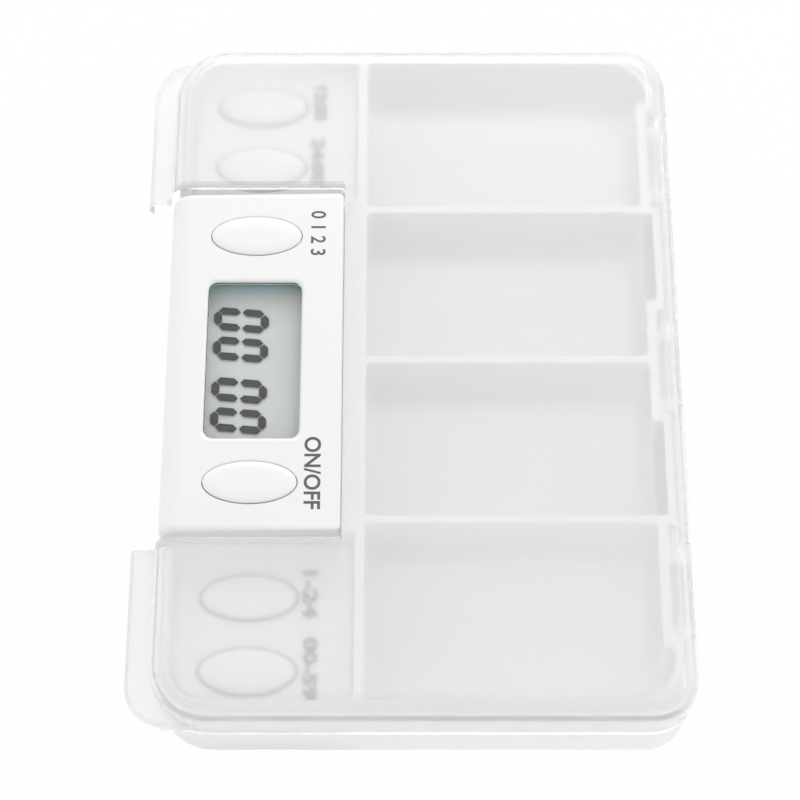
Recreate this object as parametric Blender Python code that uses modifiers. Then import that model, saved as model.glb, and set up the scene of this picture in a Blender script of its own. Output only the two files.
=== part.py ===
"""A pill box with a timer: a tray of four compartments, a hinged clear lid and a timer in the tray's front.

X runs along the box, -Y is the timer's side, +Y the hinge's side and +Z is up. The origin is the middle of
the tray's underside. Everything is in metres."""

import math

import bmesh
import bpy
from mathutils import Matrix, Vector

# The box as a whole
BOX_DEPTH = 0.0866
BOX_HEIGHT = 0.0205
SEAT_GAP = 0.0003
RUNNING_GAP = 0.0004

# Lid: a drafted shell with rolled top edges
LID_WALL = 0.0013
LID_DRAFT = 0.0004
LID_EDGE_RADIUS = 0.0036
LID_FRONT_RADIUS = 0.009
LID_BACK_RADIUS = 0.007
RIM_GAP = 0.0005
BACK_GAP = 0.0008
BACK_SKIRT_LIFT = 0.0032
BACK_SKIRT_END = 0.0025

# Finger lips round the lid's two front corners
LIP_REACH = 0.0038
LIP_THICKNESS = 0.0027
LIP_DROP = 0.00605
LIP_CORNER_RADIUS = 0.007
LIP_TOP_ROUND = 0.0005
LIP_BOTTOM_ROUND = 0.0013
LIP_FADE_LENGTH = 0.0058
LIP_FADE_DEPTH = 0.0003

# Notch in the lid that the timer's raised block stands in
NOTCH_SIDE_GAP = 0.00105
NOTCH_BACK_GAP = 0.0007
NOTCH_CORNER_RADIUS = 0.001
NOTCH_FLANGE_WALL = 0.001
NOTCH_FLANGE_DROP = 0.0027

# Three snap hinges: a hook of the lid on a bar of the tray
HINGE_POCKET_INSET = 0.00795
HINGE_CUT_DROP = 0.0027
HINGE_AXIS_INSET = 0.0019
HINGE_AXIS_RISE = 0.0027
BAR_RADIUS = 0.001
HOOK_CLEARANCE = 0.00015
HOOK_WALL = 0.0007
HOOK_WIDTH = 0.0092
HOOK_ARM_THICKNESS = 0.00075
HOOK_ARM_INSET = 0.00015
HOOK_PAD_LENGTH = 0.0044
HOOK_PAD_DROP = 0.0002
HOOK_MOUTH = math.radians(60)
EAR_THICKNESS = 0.0023
EAR_RADIUS = 0.0017
POCKET_WIDTH = 0.0182
POCKET_DEPTH = 0.00185

# Tray
BASE_INSET = 0.0006
BASE_HEIGHT = 0.0105
BASE_EDGE_RADIUS = 0.0015
TRAY_WALL = 0.0014
TRAY_BACK_WALL = 0.0016
TRAY_FLOOR = 0.0016
TRAY_RIM_RADIUS = 0.0018
WALL_BACK_RADIUS = 0.0092
DIVIDER_THICKNESS = 0.0013
MIDDLE_COMPARTMENT_LENGTH = 0.0257
RIB_THICKNESS = 0.0015
BAY_DEPTH = 0.0279
COMPARTMENT_RADIUS = 0.0026
COMPARTMENT_END_RADIUS = 0.0066
COMPARTMENT_FILLET = 0.0022
ALCOVE_RADIUS = 0.0009
ALCOVE_OVERLAP = 0.0001

# Timer housing: a low deck with a raised block in its middle
BLOCK_SETBACK = 0.0019
BLOCK_FRONT_INSET = 0.0001
BLOCK_FRONT_RADIUS = 0.0036
BLOCK_EDGE_RADIUS = 0.0009
BLOCK_FLOOR = 0.0011
BLOCK_END_SPACE = 0.0043
DECK_END_GAP = 0.0006
DECK_FRONT_RADIUS = 0.006
DECK_BACK_RADIUS = 0.0015
DECK_EDGE_RADIUS = 0.0008
COVER_WALL = 0.0011
COVER_TOP_WALL = 0.0014
COVER_BOTTOM_THICKNESS = 0.0012

# Buttons
BUTTON_LENGTH = 0.0148
BUTTON_WIDTH = 0.00715
BUTTON_GAP = 0.00025
BUTTON_RISE = 0.0005
DECK_BUTTON_RISE = 0.001
BUTTON_CROWN = 0.0008
BUTTON_FLANGE = 0.0007
BUTTON_TRAVEL = 0.0006
BUTTON_PLAY = 0.0001
BUTTON_STEM = 0.0002
DISPLAY_BUTTON_SPACE = 0.00425
BLOCK_BUTTON_SPACE = 0.005
DECK_BUTTON_SPACE = 0.00455
FLANGE_CLEARANCE = 0.0002
BUTTON_DOME_SHARES = (0, 0.4, 0.65, 0.8, 0.9, 0.96)
BUTTON_FLANGE_SHARE = 1.1
BUTTON_STEM_SHARE = 0.34

# Display
DISPLAY_LENGTH = 0.0272
DISPLAY_WIDTH = 0.01495
DISPLAY_SHIFT = 0.0004
DISPLAY_CORNER_RADIUS = 0.0015
DISPLAY_CHAMFER = 0.0006
DISPLAY_CHAMFER_DEPTH = 0.0004
WINDOW_THICKNESS = 0.0008
WINDOW_MARGIN = 0.001
GLASS_THICKNESS = 0.0022
GLASS_MARGIN = 0.0018
CONNECTOR_WIDTH = 0.002
CONNECTOR_INSET = 0.0009

# Circuit board and what is on it
BOARD_THICKNESS = 0.001
BOARD_MARGIN = 0.0006
BOARD_END_MARGIN = 0.0017
SWITCH_SIDE = 0.0045
SWITCH_HEIGHT = 0.0012
PLUNGER_SIDE = 0.002
PLUNGER_HEIGHT = 0.0003
CHIP_RADIUS = 0.004
CHIP_HEIGHT = 0.0012
CHIP_SHIFT = 0.006
BUZZER_RADIUS = 0.009
BUZZER_CERAMIC_RADIUS = 0.0065
BUZZER_PLATE = 0.0002
BUZZER_CERAMIC = 0.0002
BUZZER_SHIFT = 0.022

# Battery bay in the housing's bottom cover
CELL_RADIUS = 0.0058
CELL_HEIGHT = 0.0031
CELL_CAP_RADIUS = 0.005
CELL_CAP_HEIGHT = 0.0003
CELL_SPACE = 0.0014
BATTERY_SHIFT = -0.022
DOOR_END_MARGIN = 0.0022
DOOR_SIDE_MARGIN = 0.0017
DOOR_THICKNESS = 0.0008
DOOR_CORNER_RADIUS = 0.0015
WELL_WALL = 0.0012
WELL_HEIGHT = 0.0031
CONTACT_THICKNESS = 0.0002
CONTACT_LENGTH = 0.008
CONTACT_WIDTH = 0.006
BRIDGE_LENGTH = 0.02

# Housing screws
BOSS_RADIUS = 0.002
BOSS_OVERLAP = 0.0004
BOSS_CLEARANCE = 0.0003
SCREW_SHANK_RADIUS = 0.0006
SCREW_HEAD_RADIUS = 0.0015
SCREW_HEAD_HEIGHT = 0.0005
SCREW_LENGTH = 0.006
SCREW_CLEARANCE = 0.0002

# Mesh resolution and helpers
CORNER_STEPS = 8
SMALL_CORNER_STEPS = 4
ROUND_STEPS = 4
SMALL_ROUND_STEPS = 2
CIRCLE_STEPS = 28
CUT_OVERRUN = 0.005
JOIN_OVERLAP = 0.0008
WELD_DISTANCE = 0.00001
SHARP_ANGLE = math.radians(35)
SIDEWAYS = Matrix(((0, 0, 1, 0), (1, 0, 0, 0), (0, 1, 0, 0), (0, 0, 0, 1)))

# Places along the box, from the display in its middle out to the lid's ends
button_flange = BUTTON_WIDTH / 2 * BUTTON_FLANGE_SHARE
block_button_x = DISPLAY_LENGTH / 2 + DISPLAY_BUTTON_SPACE + BUTTON_WIDTH / 2
block_half_length = block_button_x + BUTTON_WIDTH / 2 + BLOCK_END_SPACE
inner_button_x = block_half_length + BLOCK_BUTTON_SPACE + BUTTON_WIDTH / 2
outer_button_x = inner_button_x + BUTTON_WIDTH + DECK_BUTTON_SPACE
deck_half_length = outer_button_x + button_flange + FLANGE_CLEARANCE + COVER_WALL
inner_half_length = deck_half_length + DECK_END_GAP
wall_half_length = inner_half_length + TRAY_WALL
half_length = wall_half_length + RUNNING_GAP + LID_WALL
base_half_length = half_length - BASE_INSET
divider_face = DIVIDER_THICKNESS * 3 / 2 + MIDDLE_COMPARTMENT_LENGTH
middle_compartment_end = divider_face - DIVIDER_THICKNESS
pocket_end = divider_face + POCKET_WIDTH
end_alcove_length = inner_half_length - pocket_end - TRAY_WALL
compartment_end_radius = min(COMPARTMENT_END_RADIUS, end_alcove_length - ALCOVE_RADIUS)
hinge_spacing = pocket_end - HINGE_POCKET_INSET
hinge_centres = (-hinge_spacing, 0, hinge_spacing)
notch_half = block_half_length + NOTCH_SIDE_GAP

# Places from the finger lips in front to the hinge behind
box_front = -BOX_DEPTH / 2
box_back = BOX_DEPTH / 2
lid_front = box_front + LIP_REACH
base_front = lid_front + BASE_INSET
base_back = box_back - BASE_INSET
wall_front = lid_front + LID_WALL + RUNNING_GAP
wall_front_radius = LID_FRONT_RADIUS - LID_WALL
wall_back = box_back - LID_WALL - BACK_GAP
inner_front = wall_front + TRAY_WALL
inner_back = wall_back - TRAY_BACK_WALL
rib_front = inner_front + BAY_DEPTH
rib_back = rib_front + RIB_THICKNESS
pocket_face = wall_back - POCKET_DEPTH
pocket_inner = pocket_face - TRAY_BACK_WALL
hinge_y = box_back - HINGE_AXIS_INSET
hook_inner_radius = BAR_RADIUS + HOOK_CLEARANCE
hook_outer_radius = hook_inner_radius + HOOK_WALL
ear_inner = HOOK_WIDTH / 2 + SEAT_GAP
hinge_cut_half = ear_inner + EAR_THICKNESS + SEAT_GAP
deck_front = inner_front + SEAT_GAP
deck_back = rib_front - SEAT_GAP
block_front = base_front + BLOCK_FRONT_INSET
block_back = deck_back - BLOCK_SETBACK
timer_middle = (block_front + block_back) / 2
notch_back = block_back + NOTCH_BACK_GAP
display_front = timer_middle - DISPLAY_WIDTH / 2
display_back = timer_middle + DISPLAY_WIDTH / 2
display_left = DISPLAY_SHIFT - DISPLAY_LENGTH / 2
display_right = DISPLAY_SHIFT + DISPLAY_LENGTH / 2
cell_spacing = CELL_RADIUS * 2 + CELL_SPACE
door_half_length = cell_spacing / 2 + CELL_RADIUS + DOOR_END_MARGIN
door_half_width = CELL_RADIUS + DOOR_SIDE_MARGIN
screw_x = (inner_button_x + outer_button_x) / 2
front_screw_y = deck_front + COVER_WALL + BOSS_RADIUS - BOSS_OVERLAP
back_screw_y = deck_back - COVER_WALL - BOSS_RADIUS + BOSS_OVERLAP
screw_places = [(side * screw_x, y) for side in (-1, 1) for y in (front_screw_y, back_screw_y)]

# Heights, from the tray's floor up through the timer to its deck, and down from the lid's top
bottom_cover_bottom = TRAY_FLOOR + SEAT_GAP
bottom_cover_top = bottom_cover_bottom + COVER_BOTTOM_THICKNESS
cover_bottom = bottom_cover_top + SEAT_GAP
bridge_bottom = bottom_cover_bottom + DOOR_THICKNESS + CONTACT_THICKNESS
cell_bottom = bridge_bottom + CONTACT_THICKNESS + SEAT_GAP
cell_top = cell_bottom + CELL_HEIGHT
contact_bottom = cell_top + SEAT_GAP
board_bottom = contact_bottom + CONTACT_THICKNESS + SEAT_GAP
board_top = board_bottom + BOARD_THICKNESS
switch_bottom = board_top + SEAT_GAP
plunger_top = switch_bottom + SWITCH_HEIGHT + PLUNGER_HEIGHT
stem_bottom = plunger_top + BUTTON_TRAVEL + BUTTON_PLAY
deck_underside = stem_bottom + BUTTON_STEM + BUTTON_FLANGE + SEAT_GAP
deck_top = deck_underside + COVER_TOP_WALL
skirt_bottom = BASE_HEIGHT + SEAT_GAP
block_bottom = BASE_HEIGHT + SEAT_GAP
hinge_height = BASE_HEIGHT + HINGE_AXIS_RISE
lid_underside = BOX_HEIGHT - LID_WALL
wall_top = lid_underside - RIM_GAP
hinge_cut_top = BOX_HEIGHT - HINGE_CUT_DROP
block_underside = BOX_HEIGHT - COVER_TOP_WALL
window_bottom = block_underside - SEAT_GAP - WINDOW_THICKNESS
glass_bottom = window_bottom - SEAT_GAP - GLASS_THICKNESS


def clear_scene():
    for obj in list(bpy.data.objects):
        bpy.data.objects.remove(obj, do_unlink=True)


def new_collection(name):
    collection = bpy.data.collections.new(name)
    bpy.context.scene.collection.children.link(collection)
    return collection


def new_material(name, color, roughness, metallic=0, alpha=1):
    material = bpy.data.materials.new(name)
    material.use_nodes = True
    shader = material.node_tree.nodes["Principled BSDF"]
    shader.inputs["Base Color"].default_value = (*color, 1)
    shader.inputs["Roughness"].default_value = roughness
    shader.inputs["Metallic"].default_value = metallic
    shader.inputs["Alpha"].default_value = alpha
    return material


def arc(centre_x, centre_y, radius, start, end, steps):
    """Points on a circle, from one angle to another."""
    angles = [start + (end - start) * step / steps for step in range(steps + 1)]
    return [(centre_x + radius * math.cos(angle), centre_y + radius * math.sin(angle)) for angle in angles]


def rounded_outline(corners, steps=SMALL_CORNER_STEPS):
    """An outline through corners (x, y, radius), each corner with a radius turned in an arc."""
    points = []
    for index, (x, y, radius) in enumerate(corners):
        corner = Vector((x, y))
        if not radius:
            points.append((x, y))
            continue
        back = (Vector(corners[index - 1][:2]) - corner).normalized()
        ahead = (Vector(corners[(index + 1) % len(corners)][:2]) - corner).normalized()
        half_angle = math.acos(max(-1, min(1, back.dot(ahead)))) / 2
        centre = corner + (back + ahead).normalized() * radius / math.sin(half_angle)
        start = corner + back * radius / math.tan(half_angle) - centre
        end = corner + ahead * radius / math.tan(half_angle) - centre
        first = math.atan2(start.y, start.x)
        turn = math.remainder(math.atan2(end.y, end.x) - first, math.tau)
        points += arc(centre.x, centre.y, radius, first, first + turn, steps)
    return points


def rectangle(left, right, front, back, front_radius=0, back_radius=0):
    """Corners for an outline, anticlockwise from the front left."""
    return [
        (left, front, front_radius),
        (right, front, front_radius),
        (right, back, back_radius),
        (left, back, back_radius),
    ]


def mirrored(corners):
    return [(-x, y, radius) for x, y, radius in reversed(corners)]


def prism(outline, bottom, top):
    """A flat outline raised to a solid."""
    shape = bmesh.new()
    base = shape.faces.new([shape.verts.new((x, y, bottom)) for x, y in outline])
    raised = bmesh.ops.extrude_face_region(shape, geom=[base])["geom"]
    corners = [item for item in raised if isinstance(item, bmesh.types.BMVert)]
    bmesh.ops.translate(shape, vec=(0, 0, top - bottom), verts=corners)
    return shape


def side_prism(outline, left, right):
    """An outline in Y and Z drawn out along X."""
    shape = prism(outline, left, right)
    bmesh.ops.transform(shape, matrix=SIDEWAYS, verts=shape.verts)
    return shape


def box(left, right, front, back, bottom, top):
    shape = bmesh.new()
    middle = Vector((left + right, front + back, bottom + top)) / 2
    size = Matrix.Diagonal((right - left, back - front, top - bottom, 1))
    bmesh.ops.create_cube(shape, size=1, matrix=Matrix.Translation(middle) @ size)
    return shape


def cylinder(x, y, radius, bottom, top, steps=CIRCLE_STEPS):
    shape = bmesh.new()
    place = Matrix.Translation((x, y, (bottom + top) / 2))
    bmesh.ops.create_cone(
        shape, cap_ends=True, segments=steps, radius1=radius, radius2=radius, depth=top - bottom, matrix=place
    )
    return shape


def loft(rings):
    """A solid through rings of equally many points."""
    shape = bmesh.new()
    rows = [[shape.verts.new(point) for point in ring] for ring in rings]
    shape.faces.new(list(reversed(rows[0])))
    shape.faces.new(rows[-1])
    for row, following_row in zip(rows, rows[1:]):
        for index in range(len(row)):
            following = (index + 1) % len(row)
            shape.faces.new((row[index], row[following], following_row[following], following_row[index]))
    return shape


def joined(shapes):
    """Several shapes that don't touch, as one."""
    whole = bmesh.new()
    for shape in shapes:
        piece = bpy.data.meshes.new("piece")
        shape.to_mesh(piece)
        shape.free()
        whole.from_mesh(piece)
        bpy.data.meshes.remove(piece)
    return whole


def at_height(height):
    """Chooses the edges that lie at this height."""
    return lambda start, end: abs(start.z - height) < WELD_DISTANCE and abs(end.z - height) < WELD_DISTANCE


def round_edges(shape, is_chosen, radius, steps):
    edges = [edge for edge in shape.edges if is_chosen(edge.verts[0].co, edge.verts[1].co)]
    bmesh.ops.bevel(
        shape, geom=edges, offset=radius, offset_type="OFFSET", segments=steps, profile=0.5, affect="EDGES"
    )


def add_object(name, shape, collection, material=None):
    """Makes a shape an object, shaded smooth but for its sharp edges."""
    bmesh.ops.recalc_face_normals(shape, faces=shape.faces)
    mesh = bpy.data.meshes.new(name)
    shape.to_mesh(mesh)
    shape.free()
    mesh.shade_smooth()
    mesh.set_sharp_from_angle(angle=SHARP_ANGLE)
    obj = bpy.data.objects.new(name, mesh)
    collection.objects.link(obj)
    if material:
        mesh.materials.append(material)
    return obj


def add_tool(name, shape):
    """A shape that only cuts or joins others."""
    obj = add_object(name, shape, tools)
    obj.hide_render = True
    obj.display_type = "WIRE"
    return obj


def combine(obj, operation, tool):
    """Cuts the tool out of the object, or joins it on."""
    modifier = obj.modifiers.new(tool.name, "BOOLEAN")
    modifier.operation = operation
    modifier.solver = "EXACT"
    modifier.object = tool


def cut(obj, name, shape):
    combine(obj, "DIFFERENCE", add_tool(name, shape))


def join(obj, name, shape):
    combine(obj, "UNION", add_tool(name, shape))


def turn_profile(name, profile, material):
    """A solid turned round Z from a profile of (radius, height) that runs down its outer side."""
    shape = bmesh.new()
    points = [shape.verts.new((radius, 0, height)) for radius, height in profile]
    for start, end in zip(points, points[1:]):
        shape.edges.new((start, end))
    mesh = bpy.data.meshes.new(name)
    shape.to_mesh(mesh)
    shape.free()
    mesh.materials.append(material)
    obj = bpy.data.objects.new(name, mesh)
    parts.objects.link(obj)
    screw = obj.modifiers.new("turn", "SCREW")
    screw.axis = "Z"
    screw.steps = CIRCLE_STEPS
    screw.render_steps = CIRCLE_STEPS
    screw.use_merge_vertices = True
    screw.merge_threshold = WELD_DISTANCE
    screw.use_smooth_shade = True
    return obj


def move_origin(obj, point):
    """Moves the object's origin to a point and leaves its shape where it is."""
    obj.data.transform(Matrix.Translation(-Vector(point)))
    obj.location = point


def compartment_shapes(side):
    """The two compartments on one side of the middle, without the alcoves beside their hinge pockets."""
    inner = [
        (DIVIDER_THICKNESS / 2, rib_back, COMPARTMENT_RADIUS),
        (middle_compartment_end, rib_back, COMPARTMENT_RADIUS),
        (middle_compartment_end, pocket_inner, COMPARTMENT_RADIUS),
        (DIVIDER_THICKNESS / 2, pocket_inner, COMPARTMENT_RADIUS),
    ]
    outer = [
        (divider_face, rib_back, COMPARTMENT_RADIUS),
        (inner_half_length, rib_back, COMPARTMENT_RADIUS),
        (inner_half_length, pocket_inner, compartment_end_radius),
        (divider_face, pocket_inner, COMPARTMENT_RADIUS),
    ]
    shapes = []
    for corners in (inner, outer):
        outline = rounded_outline(corners if side > 0 else mirrored(corners))
        shape = prism(outline, TRAY_FLOOR, wall_top + CUT_OVERRUN)
        round_edges(shape, at_height(TRAY_FLOOR), COMPARTMENT_FILLET, ROUND_STEPS)
        shapes.append(shape)
    return shapes


def alcove_shapes(side):
    """Where a compartment's back wall steps out past the end of a hinge pocket."""
    start = inner_back - compartment_end_radius - ALCOVE_RADIUS
    step = pocket_inner - ALCOVE_OVERLAP
    shapes = []
    for near_pocket_end, end, end_radius in (
        (POCKET_WIDTH / 2, middle_compartment_end, COMPARTMENT_RADIUS),
        (pocket_end, inner_half_length, compartment_end_radius),
    ):
        left = near_pocket_end + TRAY_WALL
        corners = [
            (left - ALCOVE_RADIUS - ALCOVE_OVERLAP, start, 0),
            (end, start, 0),
            (end, inner_back, end_radius),
            (left, inner_back, ALCOVE_RADIUS),
            (left, step, ALCOVE_RADIUS),
            (left - ALCOVE_RADIUS - ALCOVE_OVERLAP, step, 0),
        ]
        outline = rounded_outline(corners if side > 0 else mirrored(corners))
        shapes.append(prism(outline, TRAY_FLOOR + COMPARTMENT_FILLET, wall_top + CUT_OVERRUN))
    return shapes


def upper_wall():
    """The tray's wall above the ledge, with its hinge pockets and the opening at the timer's front."""
    outline = rounded_outline(
        rectangle(
            -wall_half_length, wall_half_length, wall_front, wall_back, wall_front_radius, WALL_BACK_RADIUS
        ),
        CORNER_STEPS,
    )
    shape = prism(outline, BASE_HEIGHT - JOIN_OVERLAP, wall_top)
    round_edges(shape, at_height(wall_top), TRAY_RIM_RADIUS, ROUND_STEPS)
    wall = add_tool("upper_wall", shape)
    low = BASE_HEIGHT - CUT_OVERRUN
    high = wall_top + CUT_OVERRUN
    pockets = [
        box(left, left + POCKET_WIDTH, pocket_face, wall_back + CUT_OVERRUN, low, high)
        for left in (-pocket_end, -POCKET_WIDTH / 2, divider_face)
    ]
    cut(wall, "hinge_pockets", joined(pockets))
    opening = notch_half + NOTCH_FLANGE_WALL + RUNNING_GAP
    cut(
        wall,
        "timer_front_opening",
        box(-opening, opening, wall_front - CUT_OVERRUN, inner_front + JOIN_OVERLAP, low, high),
    )
    return wall


def ear_shapes():
    """Two ears for each hinge bar, leaning out over the ledge and round about the bar."""
    root = pocket_face - JOIN_OVERLAP
    foot = BASE_HEIGHT - JOIN_OVERLAP
    outline = rounded_outline(
        [
            (root, foot, 0),
            (base_back - SEAT_GAP, foot, 0),
            (hinge_y + EAR_RADIUS, hinge_height - EAR_RADIUS / 2, 0),
            (hinge_y + EAR_RADIUS, hinge_height + EAR_RADIUS, EAR_RADIUS - WELD_DISTANCE),
            (root, hinge_height + EAR_RADIUS, 0),
        ],
        CORNER_STEPS,
    )
    return [
        side_prism(outline, centre + side, centre + side + EAR_THICKNESS)
        for centre in hinge_centres
        for side in (-ear_inner - EAR_THICKNESS, ear_inner)
    ]


def bar_shapes():
    """The three hinge bars, each a round rod between its ears."""
    half = ear_inner + EAR_THICKNESS / 2
    outline = arc(hinge_y, hinge_height, BAR_RADIUS, 0, math.tau, CIRCLE_STEPS // 2)[:-1]
    return [side_prism(outline, centre - half, centre + half) for centre in hinge_centres]


def bay_outline(side_gap, gap):
    """The deck's outline moved out by a gap, with the step behind the raised block."""
    right = deck_half_length + side_gap
    step_x = block_half_length - gap
    step_y = block_back + gap
    front = deck_front - gap
    back = deck_back + gap
    half = [
        (right, front, DECK_FRONT_RADIUS + gap),
        (right, back, DECK_BACK_RADIUS),
        (step_x, back, 0),
        (step_x, step_y, 0),
    ]
    return rounded_outline(half + mirrored(half))


def make_tray():
    outline = rounded_outline(
        rectangle(
            -base_half_length,
            base_half_length,
            base_front,
            base_back,
            LID_FRONT_RADIUS - BASE_INSET,
            LID_BACK_RADIUS - BASE_INSET,
        ),
        CORNER_STEPS,
    )
    shape = prism(outline, 0, BASE_HEIGHT)
    round_edges(shape, at_height(0), BASE_EDGE_RADIUS, SMALL_ROUND_STEPS)
    tray = add_object("compartment_tray", shape, parts, materials["tray"])
    combine(tray, "UNION", upper_wall())
    join(tray, "hinge_ears", joined(ear_shapes()))
    join(tray, "hinge_bars", joined(bar_shapes()))
    cut(tray, "compartments", joined(compartment_shapes(-1) + compartment_shapes(1)))
    cut(tray, "alcoves", joined(alcove_shapes(-1) + alcove_shapes(1)))
    cut(tray, "timer_bay", prism(bay_outline(DECK_END_GAP, SEAT_GAP), TRAY_FLOOR, wall_top + CUT_OVERRUN))
    return tray


def lip_shape(side):
    """A finger lip, swept along the lid's front wall and round its corner, where it fades into the wall."""
    lip_top = BOX_HEIGHT - LIP_DROP
    lip_bottom = lip_top - LIP_THICKNESS
    wall_radius = LID_FRONT_RADIUS - LID_WALL / 2
    wall_centre = Vector((half_length - LID_FRONT_RADIUS, lid_front + LID_FRONT_RADIUS))
    corner_x = half_length - LIP_CORNER_RADIUS
    corner_y = box_front + LIP_CORNER_RADIUS
    rim = [(notch_half - JOIN_OVERLAP, box_front)]
    rim += arc(corner_x, corner_y, LIP_CORNER_RADIUS, -math.pi / 2, 0, CORNER_STEPS)
    rim += [(half_length - LIP_FADE_DEPTH, corner_y + LIP_FADE_LENGTH)]
    rings = []
    for x, y in rim:
        rim_point = Vector((x, y))
        if x < wall_centre.x:
            root = Vector((x, lid_front + LID_WALL / 2))
        else:
            root = wall_centre + (rim_point - wall_centre).normalized() * wall_radius
        reach = (rim_point - root).length
        outward = (rim_point - root).normalized()
        section = rounded_outline(
            [
                (0, lip_bottom, 0),
                (reach, lip_bottom, min(LIP_BOTTOM_ROUND, reach / 2)),
                (reach, lip_top, min(LIP_TOP_ROUND, reach / 2)),
                (0, lip_top, 0),
            ],
            ROUND_STEPS,
        )
        rings.append([(side * (root.x + outward.x * out), root.y + outward.y * out, z) for out, z in section])
    return loft(rings)


def hook_outline():
    """A hook's section: an open ring round the bar, and the arm that hangs it from the lid's rolled edge."""
    mouth = HOOK_MOUTH / 2
    start = mouth - math.pi / 2
    end = math.pi * 3 / 2 - mouth
    arm_outer = hook_outer_radius - HOOK_ARM_INSET
    arm_inner = arm_outer - HOOK_ARM_THICKNESS
    arm_middle = arm_outer - HOOK_ARM_THICKNESS / 2
    arm_top = hinge_cut_top + HOOK_ARM_THICKNESS / 2
    points = arc(
        hinge_y,
        hinge_height,
        hook_outer_radius,
        start,
        math.acos(arm_outer / hook_outer_radius),
        SMALL_CORNER_STEPS,
    )
    points += [
        (hinge_y + arm_outer, hinge_cut_top - HOOK_ARM_THICKNESS),
        (hinge_y + arm_middle, arm_top),
        (hinge_y + arm_inner, arm_top),
    ]
    points += arc(
        hinge_y,
        hinge_height,
        hook_outer_radius,
        math.acos(arm_inner / hook_outer_radius),
        end,
        CORNER_STEPS,
    )
    points += arc(hinge_y, hinge_height, hook_inner_radius, end, start, CORNER_STEPS + SMALL_CORNER_STEPS)
    return points


def make_lid():
    outline = rounded_outline(
        rectangle(-half_length, half_length, lid_front, box_back, LID_FRONT_RADIUS, LID_BACK_RADIUS),
        CORNER_STEPS,
    )
    shape = prism(outline, skirt_bottom, BOX_HEIGHT)
    middle_y = (lid_front + box_back) / 2
    top_corners = [vert for vert in shape.verts if vert.co.z > lid_underside]
    narrowing = (
        1 - LID_DRAFT / half_length,
        1 - LID_DRAFT / (box_back - middle_y),
        1,
    )
    bmesh.ops.scale(
        shape, vec=narrowing, space=Matrix.Translation((0, -middle_y, 0)), verts=top_corners
    )
    round_edges(shape, at_height(BOX_HEIGHT), LID_EDGE_RADIUS, ROUND_STEPS)
    underside = [face for face in shape.faces if face.calc_center_median().z < skirt_bottom + WELD_DISTANCE]
    bmesh.ops.delete(shape, geom=underside, context="FACES_ONLY")
    lid = add_object("lid", shape, parts, materials["lid"])
    shell = lid.modifiers.new("shell", "SOLIDIFY")
    shell.thickness = LID_WALL
    shell.offset = -1
    shell.use_even_offset = True

    low = skirt_bottom - CUT_OVERRUN
    back = box_back + CUT_OVERRUN
    skirt_end = half_length - BACK_SKIRT_END
    cut(
        lid,
        "back_skirt_cut",
        box(-skirt_end, skirt_end, pocket_inner, back, low, skirt_bottom + BACK_SKIRT_LIFT),
    )
    hinge_cuts = [
        box(centre - hinge_cut_half, centre + hinge_cut_half, pocket_inner, back, low, hinge_cut_top)
        for centre in hinge_centres
    ]
    cut(lid, "hinge_cuts", joined(hinge_cuts))

    flange_front = lid_front + LID_DRAFT + LID_WALL / 2
    flange_top = BOX_HEIGHT - LID_WALL / 2
    flange_bottom = lid_underside - NOTCH_FLANGE_DROP
    flange_outline = rounded_outline(
        [
            (flange_front, flange_bottom, 0),
            (notch_back, flange_bottom, 0),
            (notch_back, flange_top, 0),
            (flange_front, flange_top, LID_EDGE_RADIUS - LID_WALL / 2),
        ],
        ROUND_STEPS,
    )
    flange_inner = notch_half - JOIN_OVERLAP
    flange_outer = notch_half + NOTCH_FLANGE_WALL
    flanges = [
        side_prism(flange_outline, -flange_outer, -flange_inner),
        side_prism(flange_outline, flange_inner, flange_outer),
    ]
    join(lid, "notch_flanges", joined(flanges))
    join(lid, "finger_lips", joined([lip_shape(-1), lip_shape(1)]))

    pads = [
        box(
            centre - HOOK_WIDTH / 2,
            centre + HOOK_WIDTH / 2,
            hinge_y - HOOK_PAD_LENGTH,
            hinge_y,
            lid_underside - HOOK_PAD_DROP,
            lid_underside + LID_WALL / 4,
        )
        for centre in hinge_centres
    ]
    join(lid, "hook_pads", joined(pads))
    half_hook = HOOK_WIDTH / 2
    hooks = [side_prism(hook_outline(), centre - half_hook, centre + half_hook) for centre in hinge_centres]
    join(lid, "hooks", joined(hooks))

    notch_outline = rounded_outline(
        rectangle(-notch_half, notch_half, box_front - CUT_OVERRUN, notch_back, 0, NOTCH_CORNER_RADIUS)
    )
    cut(lid, "timer_notch", prism(notch_outline, low, BOX_HEIGHT + CUT_OVERRUN))
    move_origin(lid, (0, hinge_y, hinge_height))
    return lid


def button_hole(x, bottom, top):
    """An oval hole: a round one made narrower across the button."""
    along = BUTTON_LENGTH / 2 + BUTTON_GAP
    across = BUTTON_WIDTH / 2 + BUTTON_GAP
    shape = cylinder(0, 0, along, bottom, top)
    bmesh.ops.scale(shape, vec=(across / along, 1, 1), verts=shape.verts)
    bmesh.ops.translate(shape, vec=(x, timer_middle, 0), verts=shape.verts)
    return shape


def display_ring(margin, height):
    """The display's opening, moved out by a margin, at a height."""
    corners = rectangle(
        display_left - margin,
        display_right + margin,
        display_front - margin,
        display_back + margin,
        DISPLAY_CORNER_RADIUS + margin,
        DISPLAY_CORNER_RADIUS + margin,
    )
    return [(x, y, height) for x, y in rounded_outline(corners)]


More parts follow.
